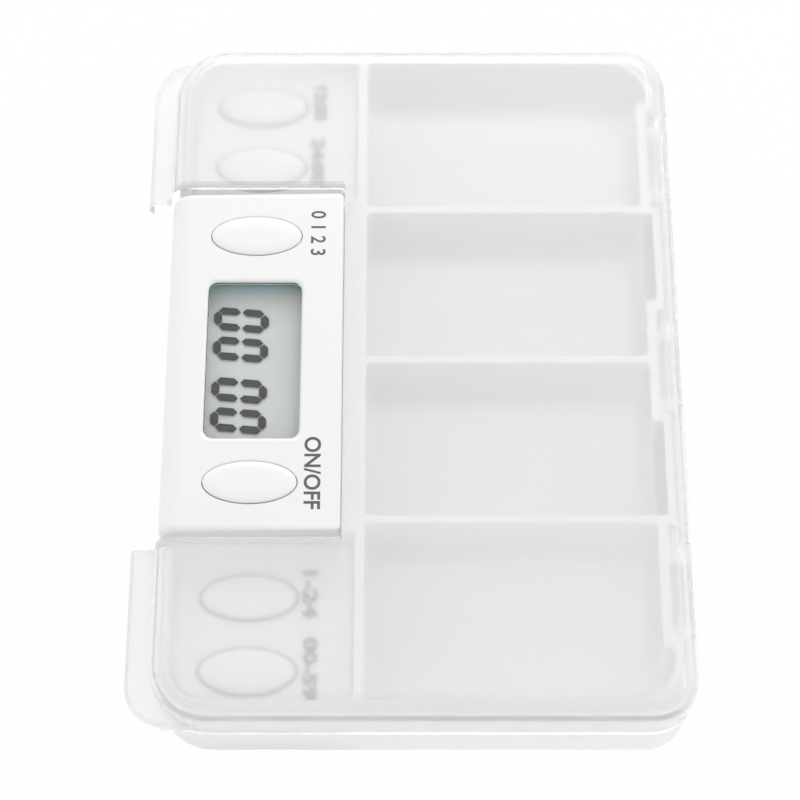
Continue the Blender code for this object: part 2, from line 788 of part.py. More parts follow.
def make_top_cover():
    shape = prism(bay_outline(0, 0), cover_bottom, deck_top)
    round_edges(shape, at_height(deck_top), DECK_EDGE_RADIUS, SMALL_ROUND_STEPS)
    cover = add_object("timer_top_cover", shape, parts, materials["housing"])

    side_view = rounded_outline(
        [
            (block_front, block_bottom, 0),
            (block_back, block_bottom, 0),
            (block_back, BOX_HEIGHT, 0),
            (block_front, BOX_HEIGHT, BLOCK_FRONT_RADIUS),
        ],
        ROUND_STEPS,
    )
    block = side_prism(side_view, -block_half_length, block_half_length)
    front_roll = BOX_HEIGHT - BLOCK_FRONT_RADIUS
    round_edges(
        block,
        lambda start, end: start.z + end.z > front_roll * 2 - WELD_DISTANCE
        and (abs(start.x - end.x) < WELD_DISTANCE or start.y + end.y > block_back * 2 - WELD_DISTANCE),
        BLOCK_EDGE_RADIUS,
        SMALL_ROUND_STEPS,
    )
    join(cover, "raised_block", block)

    inner_deck = prism(bay_outline(-COVER_WALL, -COVER_WALL), cover_bottom - CUT_OVERRUN, deck_underside)
    cut(cover, "deck_hollow", inner_deck)
    floor_top = block_bottom + BLOCK_FLOOR
    throat_front = deck_front + COVER_WALL
    throat_bottom = deck_underside - COVER_WALL / 2
    hollow_back = block_back - COVER_WALL
    inner_side_view = rounded_outline(
        [
            (block_front + COVER_WALL, floor_top, 0),
            (throat_front, floor_top, 0),
            (throat_front, throat_bottom, 0),
            (hollow_back, throat_bottom, 0),
            (hollow_back, block_underside, 0),
            (block_front + COVER_WALL, block_underside, BLOCK_FRONT_RADIUS - COVER_WALL),
        ],
        ROUND_STEPS,
    )
    inner_half = block_half_length - COVER_WALL
    cut(cover, "block_hollow", side_prism(inner_side_view, -inner_half, inner_half))

    boss_top = deck_underside + COVER_WALL / 2
    bosses = [cylinder(x, y, BOSS_RADIUS, cover_bottom, boss_top) for x, y in screw_places]
    join(cover, "screw_bosses", joined(bosses))
    bore_top = cover_bottom + SCREW_LENGTH
    bore_radius = SCREW_SHANK_RADIUS + SCREW_CLEARANCE
    bores = [
        cylinder(x, y, bore_radius, cover_bottom - CUT_OVERRUN, bore_top, CIRCLE_STEPS // 2)
        for x, y in screw_places
    ]
    cut(cover, "screw_bores", joined(bores))

    rings = [
        display_ring(0, block_underside - CUT_OVERRUN),
        display_ring(0, BOX_HEIGHT - DISPLAY_CHAMFER_DEPTH),
        display_ring(DISPLAY_CHAMFER, BOX_HEIGHT),
        display_ring(DISPLAY_CHAMFER, BOX_HEIGHT + CUT_OVERRUN),
    ]
    cut(cover, "display_opening", loft(rings))
    holes = [
        button_hole(side * block_button_x, block_underside - COVER_WALL, BOX_HEIGHT + CUT_OVERRUN)
        for side in (-1, 1)
    ]
    holes += [
        button_hole(side * offset, deck_underside - COVER_WALL, deck_top + COVER_WALL)
        for side in (-1, 1)
        for offset in (inner_button_x, outer_button_x)
    ]
    cut(cover, "button_holes", joined(holes))
    return cover


def make_button(name, x, surface, rise, material):
    """An oval button: a low dome, a flange that keeps it in, and a stem over its switch.

    Its profile is turned with shares of the radius, and the object's scale makes it oval."""
    underside = surface - COVER_TOP_WALL
    top = surface + rise
    edge = top - BUTTON_CROWN
    flange_top = underside - SEAT_GAP
    profile = [
        (share, edge + BUTTON_CROWN * math.sqrt(1 - share**4)) for share in BUTTON_DOME_SHARES
    ]
    profile += [
        (1, edge),
        (1, flange_top),
        (BUTTON_FLANGE_SHARE, flange_top),
        (BUTTON_FLANGE_SHARE, flange_top - BUTTON_FLANGE),
        (BUTTON_STEM_SHARE, flange_top - BUTTON_FLANGE),
        (BUTTON_STEM_SHARE, stem_bottom),
        (0, stem_bottom),
    ]
    button = turn_profile(name, profile, material)
    button.scale = (BUTTON_WIDTH / 2, BUTTON_LENGTH / 2, 1)
    button.location = (x, timer_middle, 0)


def make_switch(name, x):
    """A tact switch: a square body with a smaller plunger on top."""
    half = SWITCH_SIDE / 2
    body_top = switch_bottom + SWITCH_HEIGHT
    shape = box(x - half, x + half, timer_middle - half, timer_middle + half, switch_bottom, body_top)
    top_faces = [face for face in shape.faces if face.calc_center_median().z > body_top - WELD_DISTANCE]
    bmesh.ops.inset_region(shape, faces=top_faces, thickness=(SWITCH_SIDE - PLUNGER_SIDE) / 2)
    raised = bmesh.ops.extrude_face_region(shape, geom=top_faces)["geom"]
    corners = [item for item in raised if isinstance(item, bmesh.types.BMVert)]
    bmesh.ops.delete(shape, geom=top_faces, context="FACES_ONLY")
    bmesh.ops.translate(shape, vec=(0, 0, PLUNGER_HEIGHT), verts=corners)
    return add_object(name, shape, parts, materials["switch"])


def display_plate(margin, bottom, thickness):
    """A plate under the display's opening, larger than it by a margin all round."""
    return box(
        display_left - margin,
        display_right + margin,
        display_front - margin,
        display_back + margin,
        bottom,
        bottom + thickness,
    )


def make_display():
    window = display_plate(WINDOW_MARGIN, window_bottom, WINDOW_THICKNESS)
    add_object("display_window", window, parts, materials["window"])
    glass = display_plate(GLASS_MARGIN, glass_bottom, GLASS_THICKNESS)
    add_object("display_glass", glass, parts, materials["display"])
    glass_front = display_front - GLASS_MARGIN + CONNECTOR_INSET
    glass_back = display_back + GLASS_MARGIN - CONNECTOR_INSET
    for name, front in (
        ("display_connector_front", glass_front),
        ("display_connector_back", glass_back - CONNECTOR_WIDTH),
    ):
        strip = box(
            display_left,
            display_right,
            front,
            front + CONNECTOR_WIDTH,
            board_top + SEAT_GAP,
            glass_bottom - SEAT_GAP,
        )
        add_object(name, strip, parts, materials["rubber"])


def make_board():
    board_half_length = deck_half_length - COVER_WALL - BOARD_END_MARGIN
    front = deck_front + COVER_WALL + BOARD_MARGIN
    back = block_back - COVER_WALL - BOARD_MARGIN
    corner = DECK_FRONT_RADIUS - COVER_WALL - BOARD_MARGIN
    outline = rounded_outline(rectangle(-board_half_length, board_half_length, front, back, corner))
    shape = prism(outline, board_bottom, board_top)
    board = add_object("circuit_board", shape, parts, materials["board"])
    low = board_bottom - BOARD_THICKNESS
    notches = [
        cylinder(x, y, BOSS_RADIUS + BOSS_CLEARANCE, low, board_top + BOARD_THICKNESS, CIRCLE_STEPS // 2)
        for x, y in screw_places
    ]
    cut(board, "boss_notches", joined(notches))

    chip_bottom = board_top + SEAT_GAP
    chip_profile = [
        (CHIP_RADIUS * math.sin(angle), chip_bottom + CHIP_HEIGHT * math.cos(angle))
        for angle in [math.pi / 2 * step / ROUND_STEPS for step in range(ROUND_STEPS + 1)]
    ]
    chip = turn_profile("chip", chip_profile + [(0, chip_bottom)], materials["chip"])
    chip.location = (CHIP_SHIFT, timer_middle, 0)

    buzzer_bottom = bottom_cover_top + SEAT_GAP
    plate_top = buzzer_bottom + BUZZER_PLATE
    buzzer_profile = [
        (0, plate_top + BUZZER_CERAMIC),
        (BUZZER_CERAMIC_RADIUS, plate_top + BUZZER_CERAMIC),
        (BUZZER_CERAMIC_RADIUS, plate_top),
        (BUZZER_RADIUS, plate_top),
        (BUZZER_RADIUS, buzzer_bottom),
        (0, buzzer_bottom),
    ]
    buzzer = turn_profile("buzzer", buzzer_profile, materials["brass"])
    buzzer.location = (BUZZER_SHIFT, timer_middle, 0)


def door_outline(margin):
    half_door_length = door_half_length + margin
    half_width = door_half_width + margin
    corner = DOOR_CORNER_RADIUS + margin
    return rounded_outline(
        rectangle(
            BATTERY_SHIFT - half_door_length,
            BATTERY_SHIFT + half_door_length,
            timer_middle - half_width,
            timer_middle + half_width,
            corner,
            corner,
        )
    )


def make_bottom_cover():
    shape = prism(bay_outline(0, 0), bottom_cover_bottom, bottom_cover_top)
    cover = add_object("timer_bottom_cover", shape, parts, materials["housing"])
    well_top = bottom_cover_top + WELL_HEIGHT
    join(
        cover,
        "battery_well",
        prism(door_outline(SEAT_GAP + WELL_WALL), bottom_cover_top - COVER_BOTTOM_THICKNESS / 2, well_top),
    )
    low = bottom_cover_bottom - CUT_OVERRUN
    cut(cover, "door_opening", prism(door_outline(SEAT_GAP), low, well_top + CUT_OVERRUN))
    shank_holes = [
        cylinder(x, y, SCREW_SHANK_RADIUS + SCREW_CLEARANCE, low, well_top, CIRCLE_STEPS // 2)
        for x, y in screw_places
    ]
    cut(cover, "shank_holes", joined(shank_holes))
    head_top = bottom_cover_bottom + SCREW_HEAD_HEIGHT + SCREW_CLEARANCE
    head_holes = [
        cylinder(x, y, SCREW_HEAD_RADIUS + SCREW_CLEARANCE, low, head_top, CIRCLE_STEPS // 2)
        for x, y in screw_places
    ]
    cut(cover, "head_holes", joined(head_holes))

    door = prism(door_outline(0), bottom_cover_bottom, bottom_cover_bottom + DOOR_THICKNESS)
    add_object("battery_door", door, parts, materials["housing"])


def make_cells():
    bridge = box(
        BATTERY_SHIFT - BRIDGE_LENGTH / 2,
        BATTERY_SHIFT + BRIDGE_LENGTH / 2,
        timer_middle - CONTACT_WIDTH / 2,
        timer_middle + CONTACT_WIDTH / 2,
        bridge_bottom,
        bridge_bottom + CONTACT_THICKNESS,
    )
    add_object("contact_bridge", bridge, parts, materials["steel"])
    profile = [
        (0, cell_top),
        (CELL_CAP_RADIUS, cell_top),
        (CELL_CAP_RADIUS, cell_top - CELL_CAP_HEIGHT),
        (CELL_RADIUS, cell_top - CELL_CAP_HEIGHT),
        (CELL_RADIUS, cell_bottom),
        (0, cell_bottom),
    ]
    for side, which in ((-1, "left"), (1, "right")):
        x = BATTERY_SHIFT + side * cell_spacing / 2
        cell = turn_profile(f"button_cell_{which}", profile, materials["steel"])
        cell.location = (x, timer_middle, 0)
        contact = box(
            x - CONTACT_LENGTH / 2,
            x + CONTACT_LENGTH / 2,
            timer_middle - CONTACT_WIDTH / 2,
            timer_middle + CONTACT_WIDTH / 2,
            contact_bottom,
            contact_bottom + CONTACT_THICKNESS,
        )
        add_object(f"contact_{which}", contact, parts, materials["steel"])


def make_screws():
    head_bottom = bottom_cover_bottom
    head_top = head_bottom + SCREW_HEAD_HEIGHT
    profile = [
        (0, head_bottom + SCREW_LENGTH),
        (SCREW_SHANK_RADIUS, head_bottom + SCREW_LENGTH),
        (SCREW_SHANK_RADIUS, head_top),
        (SCREW_HEAD_RADIUS, head_top),
        (SCREW_HEAD_RADIUS, head_bottom),
        (0, head_bottom),
    ]
    for number, (x, y) in enumerate(screw_places, 1):
        screw = turn_profile(f"housing_screw_{number}", profile, materials["steel"])
        screw.location = (x, y, 0)


clear_scene()
parts = new_collection("pill_box")
tools = new_collection("cutters")
materials = {
    "tray": new_material("natural_polypropylene", (0.85, 0.86, 0.87), 0.35, alpha=0.9),
    "lid": new_material("frosted_clear_plastic", (0.88, 0.89, 0.91), 0.3, alpha=0.5),
    "housing": new_material("white_housing_plastic", (0.9, 0.9, 0.9), 0.3),
    "button": new_material("white_button_plastic", (0.92, 0.92, 0.92), 0.25),
    "window": new_material("clear_window", (0.9, 0.93, 0.92), 0.05, alpha=0.3),
    "display": new_material("display_glass", (0.55, 0.6, 0.56), 0.2),
    "rubber": new_material("connector_rubber", (0.05, 0.05, 0.05), 0.8),
    "board": new_material("board_resin", (0.05, 0.22, 0.1), 0.5),
    "switch": new_material("switch_plastic", (0.08, 0.08, 0.08), 0.5),
    "chip": new_material("chip_resin", (0.02, 0.02, 0.02), 0.3),
    "brass": new_material("brass", (0.75, 0.6, 0.3), 0.3, metallic=1),
    "steel": new_material("nickel_steel", (0.7, 0.7, 0.7), 0.25, metallic=1),
}

make_tray()
make_lid()
make_top_cover()
for button_name, button_x in (("memory", -block_button_x), ("on_off", block_button_x)):
    make_button(f"{button_name}_button", button_x, BOX_HEIGHT, BUTTON_RISE, materials["button"])
    make_switch(f"{button_name}_switch", button_x)
for button_name, button_x in (
    ("far_outer", -outer_button_x),
    ("far_inner", -inner_button_x),
    ("near_inner", inner_button_x),
    ("near_outer", outer_button_x),
):
    make_button(f"{button_name}_button", button_x, deck_top, DECK_BUTTON_RISE, materials["button"])
    make_switch(f"{button_name}_switch", button_x)
make_display()
make_board()
make_bottom_cover()
make_cells()
make_screws()
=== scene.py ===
import math

import bmesh
import bpy
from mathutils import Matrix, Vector


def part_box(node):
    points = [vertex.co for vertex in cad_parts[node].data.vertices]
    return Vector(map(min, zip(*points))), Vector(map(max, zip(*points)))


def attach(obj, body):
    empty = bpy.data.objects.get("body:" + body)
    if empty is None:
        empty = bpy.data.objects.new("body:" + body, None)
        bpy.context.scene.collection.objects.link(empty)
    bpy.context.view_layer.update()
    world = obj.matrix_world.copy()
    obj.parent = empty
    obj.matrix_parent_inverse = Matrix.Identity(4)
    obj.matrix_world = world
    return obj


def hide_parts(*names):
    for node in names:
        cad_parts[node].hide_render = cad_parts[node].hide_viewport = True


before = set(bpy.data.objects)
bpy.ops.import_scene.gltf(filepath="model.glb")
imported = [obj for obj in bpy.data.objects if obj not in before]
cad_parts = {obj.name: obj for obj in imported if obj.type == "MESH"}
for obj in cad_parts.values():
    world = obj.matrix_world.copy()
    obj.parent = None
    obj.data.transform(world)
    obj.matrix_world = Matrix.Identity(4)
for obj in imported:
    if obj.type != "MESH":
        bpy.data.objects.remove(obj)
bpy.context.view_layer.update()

mm = 0.001    # every size below is in millimetres, in the box's own frame
nearly = 0.01    # places this close together count as one
overlap = 0.8    # how far joined blocks reach into each other
low, high, outside = -5, 25, 50    # cutters reach past the box
quarterTurn = math.pi / 2
scene = bpy.context.scene
scene.view_settings.view_transform = "Standard"


# Selecting and shaping

def activate(piece):
    if bpy.context.mode != "OBJECT":
        bpy.ops.object.mode_set(mode="OBJECT")
    bpy.ops.object.select_all(action="DESELECT")
    piece.select_set(True)
    bpy.context.view_layer.objects.active = piece


def settle(piece, name):
    piece.name = name
    piece.data.name = name
    activate(piece)
    bpy.ops.object.transform_apply(location=True, rotation=True, scale=True)
    return piece


def addBlock(name, xs, ys, zs):
    bpy.ops.object.select_all(action="DESELECT")
    middle = [(start + end) / 2 * mm for start, end in (xs, ys, zs)]
    size = [(end - start) * mm for start, end in (xs, ys, zs)]
    bpy.ops.mesh.primitive_cube_add(size=1, location=middle, scale=size)
    return settle(bpy.context.object, name)


def addRod(name, middle, radius, length, sides, turn=(0, 0, 0), scale=(1, 1, 1)):
    bpy.ops.object.select_all(action="DESELECT")
    bpy.ops.mesh.primitive_cylinder_add(
        vertices=sides,
        radius=radius * mm,
        depth=length * mm,
        location=[value * mm for value in middle],
        rotation=turn,
        scale=scale,
    )
    return settle(bpy.context.object, name)


def openMesh(piece, kind):
    activate(piece)
    bpy.ops.object.mode_set(mode="EDIT")
    bpy.ops.mesh.select_mode(type=kind)
    bpy.ops.mesh.select_all(action="DESELECT")
    return bmesh.from_edit_mesh(piece.data)


def chooseEdges(piece, test):    # test is given an edge's middle and its run, in millimetres
    shape = openMesh(piece, "EDGE")
    for edge in shape.edges:
        start, end = (corner.co / mm for corner in edge.verts)
        edge.select_set(bool(test((start + end) / 2, end - start)))
    bmesh.update_edit_mesh(piece.data)


def chooseFaces(piece, test):    # test is given a face's middle, in millimetres, and its normal
    shape = openMesh(piece, "FACE")
    for face in shape.faces:
        face.select_set(bool(test(face.calc_center_median() / mm, face.normal)))
    bmesh.update_edit_mesh(piece.data)


def closeMesh():
    bpy.ops.object.mode_set(mode="OBJECT")


def upright(middle, run):
    return abs(run.z) > 0.9 * run.length


def level(height):
    return lambda middle, run: abs(middle.z - height) < nearly and abs(run.z) < nearly


def facingUp(middle, normal):
    return normal.z > 0.9


def roundEdges(piece, test, radius, steps):
    chooseEdges(piece, test)
    bpy.ops.mesh.bevel(
        offset=radius * mm,
        offset_type="OFFSET",
        segments=steps,
        profile=0.5,
        affect="EDGES",
        clamp_overlap=False,
    )
    closeMesh()


def addRoundBlock(name, xs, ys, zs, frontRadius, backRadius, steps=12):
    block = addBlock(name, xs, ys, zs)
    middle = sum(ys) / 2
    if frontRadius:
        roundEdges(block, lambda place, run: upright(place, run) and place.y < middle, frontRadius, steps)
    if backRadius:
        back = ys[1] - nearly
        roundEdges(block, lambda place, run: upright(place, run) and place.y > back, backRadius, steps)
    return block


def quarterRound(radius, steps):    # how far a rounded edge goes out and up, step by step
    angles = [quarterTurn * step / steps for step in range(1, steps + 1)]
    return [(radius * (1 - math.cos(angle)), radius * math.sin(angle)) for angle in angles]


def flareTop(tool, rises, end):    # widens a cutter's top, so that the edge it leaves is rounded
    corners = [corner.co / mm for corner in tool.data.vertices]
    lowest = Vector([min(corner[axis] for corner in corners) for axis in range(3)])
    highest = Vector([max(corner[axis] for corner in corners) for axis in range(3)])
    middle = (lowest + highest) / 2
    size = highest - lowest
    chooseFaces(tool, lambda place, normal: facingUp(place, normal) and place.z > highest.z - nearly)
    lastOut = lastUp = 0
    for out, up in rises + [(rises[-1][0], rises[-1][1] + end)]:
        bpy.ops.mesh.extrude_region_move(TRANSFORM_OT_translate={"value": (0, 0, (up - lastUp) * mm)})
        share = [(size[axis] / 2 + out) / (size[axis] / 2 + lastOut) for axis in range(2)]
        bpy.ops.transform.resize(value=(share[0], share[1], 1), center_override=middle * mm)
        lastOut, lastUp = out, up
    closeMesh()
    return tool


def applyModifiers(piece):
    activate(piece)
    for modifier in list(piece.modifiers):
        bpy.ops.object.modifier_apply(modifier=modifier.name)


def combine(piece, operation, tools):
    for tool in tools:
        change = piece.modifiers.new("combine", "BOOLEAN")
        change.operation = operation
        change.solver = "EXACT"
        change.object = tool
        applyModifiers(piece)
        bpy.data.objects.remove(tool, do_unlink=True)
    return piece


def finishPiece(piece, material, body, nodes=(), angle=32):
    activate(piece)
    bpy.ops.object.shade_smooth_by_angle(angle=math.radians(angle))
    evened = piece.modifiers.new("evenedNormals", "WEIGHTED_NORMAL")    # broad faces stay flat
    evened.keep_sharp = True
    applyModifiers(piece)
    piece.data.materials.clear()
    piece.data.materials.append(material)
    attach(piece, body)
    if nodes:
        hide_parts(*nodes)
    return piece


# Shader nodes. A value of None leaves its socket for a link.

def addMath(nodes, operation, *values):
    node = nodes.new("ShaderNodeMath")
    node.operation = operation
    for socket, value in zip(node.inputs, values):
        if value is not None:
            socket.default_value = value
    return node


def addColourMix(nodes, first, second):
    mix = nodes.new("ShaderNodeMix")
    mix.data_type = "RGBA"
    for socket, colour in ((6, first), (7, second)):
        if colour is not None:
            mix.inputs[socket].default_value = (*colour, 1)
    return mix


def addFade(nodes, start, end):    # 0 at the start and 1 at the end
    fade = nodes.new("ShaderNodeMapRange")
    fade.inputs["From Min"].default_value = start
    fade.inputs["From Max"].default_value = end
    return fade


def objectPlace(nodes, links, kind="Object"):    # the X, Y and Z of a point, or of its normal
    place = nodes.new("ShaderNodeTexCoord")
    parted = nodes.new("ShaderNodeSeparateXYZ")
    links.new(place.outputs[kind], parted.inputs[0])
    return parted.outputs


def anyRay(nodes, links, kinds):    # 1 for rays of these kinds
    path = nodes.new("ShaderNodeLightPath")
    found = path.outputs[kinds[0]]
    for kind in kinds[1:]:
        either = addMath(nodes, "MAXIMUM")
        links.new(found, either.inputs[0])
        links.new(path.outputs[kind], either.inputs[1])
        found = either.outputs[0]
    return found


def mixShaders(nodes, links, share, first, second, output):
    mixed = nodes.new("ShaderNodeMixShader")
    links.new(share, mixed.inputs[0])
    links.new(first.outputs[0], mixed.inputs[1])
    links.new(second.outputs[0], mixed.inputs[2])
    links.new(mixed.outputs[0], output.inputs["Surface"])


# Materials

def makeGrainGroup():    # a moulded surface: roughness that varies a little, and a faint unevenness
    group = bpy.data.node_groups.new("mouldedGrain", "ShaderNodeTree")
    for name, value in (("Scale", 1200), ("Roughness", 0.3), ("Variation", 0.05), ("Height", 0.1)):
        socket = group.interface.new_socket(name=name, in_out="INPUT", socket_type="NodeSocketFloat")
        socket.default_value = value
    group.interface.new_socket(name="Vector", in_out="INPUT", socket_type="NodeSocketVector")
    group.interface.new_socket(name="Roughness", in_out="OUTPUT", socket_type="NodeSocketFloat")
    group.interface.new_socket(name="Normal", in_out="OUTPUT", socket_type="NodeSocketVector")
    nodes, links = group.nodes, group.links
    entry = nodes.new("NodeGroupInput")
    result = nodes.new("NodeGroupOutput")
    noise = nodes.new("ShaderNodeTexNoise")
    noise.inputs["Detail"].default_value = 3
    centred = addMath(nodes, "SUBTRACT", None, 0.5)
    varied = addMath(nodes, "MULTIPLY_ADD")
    bump = nodes.new("ShaderNodeBump")
    bump.inputs["Distance"].default_value = 0.00002
    links.new(entry.outputs["Vector"], noise.inputs["Vector"])
    links.new(entry.outputs["Scale"], noise.inputs["Scale"])
    links.new(noise.outputs["Fac"], centred.inputs[0])
    links.new(centred.outputs[0], varied.inputs[0])
    links.new(entry.outputs["Variation"], varied.inputs[1])
    links.new(entry.outputs["Roughness"], varied.inputs[2])
    links.new(entry.outputs["Height"], bump.inputs["Strength"])
    links.new(noise.outputs["Fac"], bump.inputs["Height"])
    links.new(varied.outputs[0], result.inputs["Roughness"])
    links.new(bump.outputs["Normal"], result.inputs["Normal"])
    return group


grainGroup = makeGrainGroup()


def letLightThrough(material, tint):    # light that falls on what lies under a clear piece isn't blocked
    nodes, links = material.node_tree.nodes, material.node_tree.links
    clear = nodes.new("ShaderNodeBsdfTransparent")
    clear.inputs["Color"].default_value = (*tint, 1)
    lighting = anyRay(nodes, links, ("Is Shadow Ray", "Is Diffuse Ray"))
    mixShaders(nodes, links, lighting, nodes["Principled BSDF"], clear, nodes["Material Output"])


def makeMaterial(name, look):
    material = bpy.data.materials.new(name)
    material.use_nodes = True
    nodes, links = material.node_tree.nodes, material.node_tree.links
    shader = nodes["Principled BSDF"]
    place = nodes.new("ShaderNodeTexCoord")
    grain = nodes.new("ShaderNodeGroup")
    grain.node_tree = grainGroup
    grain.name = "grain"
    for socket, value in zip(("Scale", "Variation", "Height"), look["grain"]):
        grain.inputs[socket].default_value = value
    grain.inputs["Roughness"].default_value = look["roughness"]
    clouds = nodes.new("ShaderNodeTexNoise")
    clouds.inputs["Scale"].default_value = look.get("cloudScale", 90)
    tint = addColourMix(nodes, *look["colours"])
    tint.name = "tint"
    links.new(place.outputs["Object"], grain.inputs["Vector"])
    links.new(place.outputs["Object"], clouds.inputs["Vector"])
    links.new(clouds.outputs["Fac"], tint.inputs[0])
    links.new(tint.outputs[2], shader.inputs["Base Color"])
    links.new(grain.outputs["Roughness"], shader.inputs["Roughness"])
    links.new(grain.outputs["Normal"], shader.inputs["Normal"])
    for socket, value in look.get("sockets", {}).items():
        shader.inputs[socket].default_value = value
    if "lightThrough" in look:
        letLightThrough(material, look["lightThrough"])
    return material


looks = {    # grain: its scale, how much the roughness varies, its height
    "milkyTray": {
        "colours": ((0.982, 0.984, 0.99), (0.968, 0.972, 0.98)),
        "roughness": 0.42, "grain": (2600, 0.06, 0.12),
        "sockets": {"Subsurface Weight": 0.5, "Subsurface Radius": (1, 1, 1), "Subsurface Scale": 0.0005,
                    "IOR": 1.49, "Transmission Weight": 0.2},
        "lightThrough": (0.9, 0.902, 0.908),
    },
    "frostedLid": {    # a colour nearer white makes the denoiser draw hairlines
        "colours": ((0.955, 0.957, 0.96), (0.948, 0.95, 0.955)),
        "roughness": 0.36, "grain": (3200, 0.03, 0),
        "sockets": {"Transmission Weight": 0.74, "IOR": 1.42}, "lightThrough": (0.945, 0.947, 0.953),
    },
    "glossyHousing": {
        "colours": ((0.9, 0.9, 0.895), (0.885, 0.887, 0.885)),
        "roughness": 0.24, "grain": (1500, 0.05, 0.12),
        "sockets": {"IOR": 1.5},
    },
    "glossyButton": {
        "colours": ((0.91, 0.91, 0.905), (0.9, 0.9, 0.898)),
        "roughness": 0.18, "grain": (1800, 0.04, 0.08),
        "sockets": {"IOR": 1.5},
    },
    "clearWindow": {
        "colours": ((0.95, 0.965, 0.96), (0.945, 0.96, 0.955)),
        "roughness": 0.03, "grain": (500, 0.02, 0),
        "sockets": {"Transmission Weight": 1, "IOR": 1.4}, "lightThrough": (0.97, 0.975, 0.972),
    },
    "thinGlass": {
        "colours": ((0.98, 0.985, 0.982), (0.975, 0.982, 0.978)),
        "roughness": 0.03, "grain": (500, 0.02, 0),
        "sockets": {"Transmission Weight": 1, "IOR": 1.15}, "lightThrough": (0.99, 0.992, 0.99),
    },
    "displayFace": {
        "colours": ((0.755, 0.772, 0.762), (0.735, 0.752, 0.742)),
        "roughness": 0.6, "grain": (4000, 0.05, 0.1),
        "sockets": {"IOR": 1.2},
    },
    "darkSegment": {
        "colours": ((0.055, 0.053, 0.053), (0.062, 0.06, 0.06)),
        "roughness": 0.6, "grain": (3000, 0.05, 0),
        "sockets": {"IOR": 1.15},
    },
    "greyPrint": {
        "colours": ((0.09, 0.09, 0.095), (0.12, 0.12, 0.125)),
        "roughness": 0.5, "grain": (5000, 0.1, 0.1),
    },
    "blackRubber": {
        "colours": ((0.04, 0.04, 0.04), (0.06, 0.06, 0.06)),
        "roughness": 0.75, "grain": (2500, 0.1, 0.4),
    },
    "greenBoard": {
        "colours": ((0.03, 0.16, 0.07), (0.05, 0.22, 0.1)),
        "roughness": 0.4, "grain": (900, 0.1, 0.3),
        "cloudScale": 400,
    },
    "blackSwitch": {
        "colours": ((0.05, 0.05, 0.05), (0.07, 0.07, 0.07)),
        "roughness": 0.45, "grain": (1800, 0.1, 0.3),
    },
    "blackResin": {
        "colours": ((0.015, 0.015, 0.015), (0.025, 0.025, 0.025)),
        "roughness": 0.2, "grain": (700, 0.08, 0.3),
    },
    "brassSheet": {
        "colours": ((0.72, 0.56, 0.27), (0.62, 0.47, 0.22)),
        "roughness": 0.32, "grain": (1600, 0.15, 0.2),
        "sockets": {"Metallic": 1},
    },
    "nickelSteel": {
        "colours": ((0.66, 0.66, 0.65), (0.58, 0.58, 0.575)),
        "roughness": 0.28, "grain": (2200, 0.15, 0.2),
        "sockets": {"Metallic": 1},
    },
}
materials = {name: makeMaterial(name, look) for name, look in looks.items()}


def paintFarShadow(material, paintedShadeColour, start, end):    # painted shadow: the display darkens to blue-green at its far end, under the opening's far wall
    nodes, links = material.node_tree.nodes, material.node_tree.links
    fade = addFade(nodes, start * mm, end * mm)
    fade.interpolation_type = "SMOOTHSTEP"
    shaded = addColourMix(nodes, paintedShadeColour, None)
    links.new(objectPlace(nodes, links)["X"], fade.inputs["Value"])
    links.new(fade.outputs[0], shaded.inputs[0])
    links.new(nodes["tint"].outputs[2], shaded.inputs[7])
    links.new(shaded.outputs[2], nodes["Principled BSDF"].inputs["Base Color"])


def paintShadeInside(material, paintedShadeColour, middle, halfSizes, highest):    # painted shade: a darker colour inside an upright block
    nodes, links = material.node_tree.nodes, material.node_tree.links
    parted = objectPlace(nodes, links)
    mask = addMath(nodes, "LESS_THAN", None, highest * mm)
    links.new(parted["Z"], mask.inputs[0])
    for axis, centre, half in zip("XY", middle, halfSizes):
        inside = addMath(nodes, "COMPARE", None, centre * mm, half * mm)
        both = addMath(nodes, "MULTIPLY")
        links.new(parted[axis], inside.inputs[0])
        links.new(mask.outputs[0], both.inputs[0])
        links.new(inside.outputs[0], both.inputs[1])
        mask = both
    shaded = addColourMix(nodes, None, paintedShadeColour)
    links.new(mask.outputs[0], shaded.inputs[0])
    links.new(nodes["tint"].outputs[2], shaded.inputs[6])
    links.new(shaded.outputs[2], nodes["Principled BSDF"].inputs["Base Color"])


# The underside of the lid's top is frosted, and the rest of the lid is clear
def frostTheTop(material, facing, clearFrom, frostedTo, clearRoughness):
    nodes, links = material.node_tree.nodes, material.node_tree.links
    steepness = addMath(nodes, "ABSOLUTE")
    flat = addFade(nodes, *facing)
    height = addFade(nodes, clearFrom * mm, frostedTo * mm)
    both = addMath(nodes, "MULTIPLY")
    chosen = nodes.new("ShaderNodeMix")
    chosen.inputs[2].default_value = clearRoughness
    links.new(objectPlace(nodes, links, "Normal")["Z"], steepness.inputs[0])
    links.new(steepness.outputs[0], flat.inputs["Value"])
    links.new(objectPlace(nodes, links)["Z"], height.inputs["Value"])
    links.new(flat.outputs[0], both.inputs[0])
    links.new(height.outputs[0], both.inputs[1])
    links.new(both.outputs[0], chosen.inputs[0])
    links.new(nodes["grain"].outputs["Roughness"], chosen.inputs[3])
    links.new(chosen.outputs[0], nodes["Principled BSDF"].inputs["Roughness"])
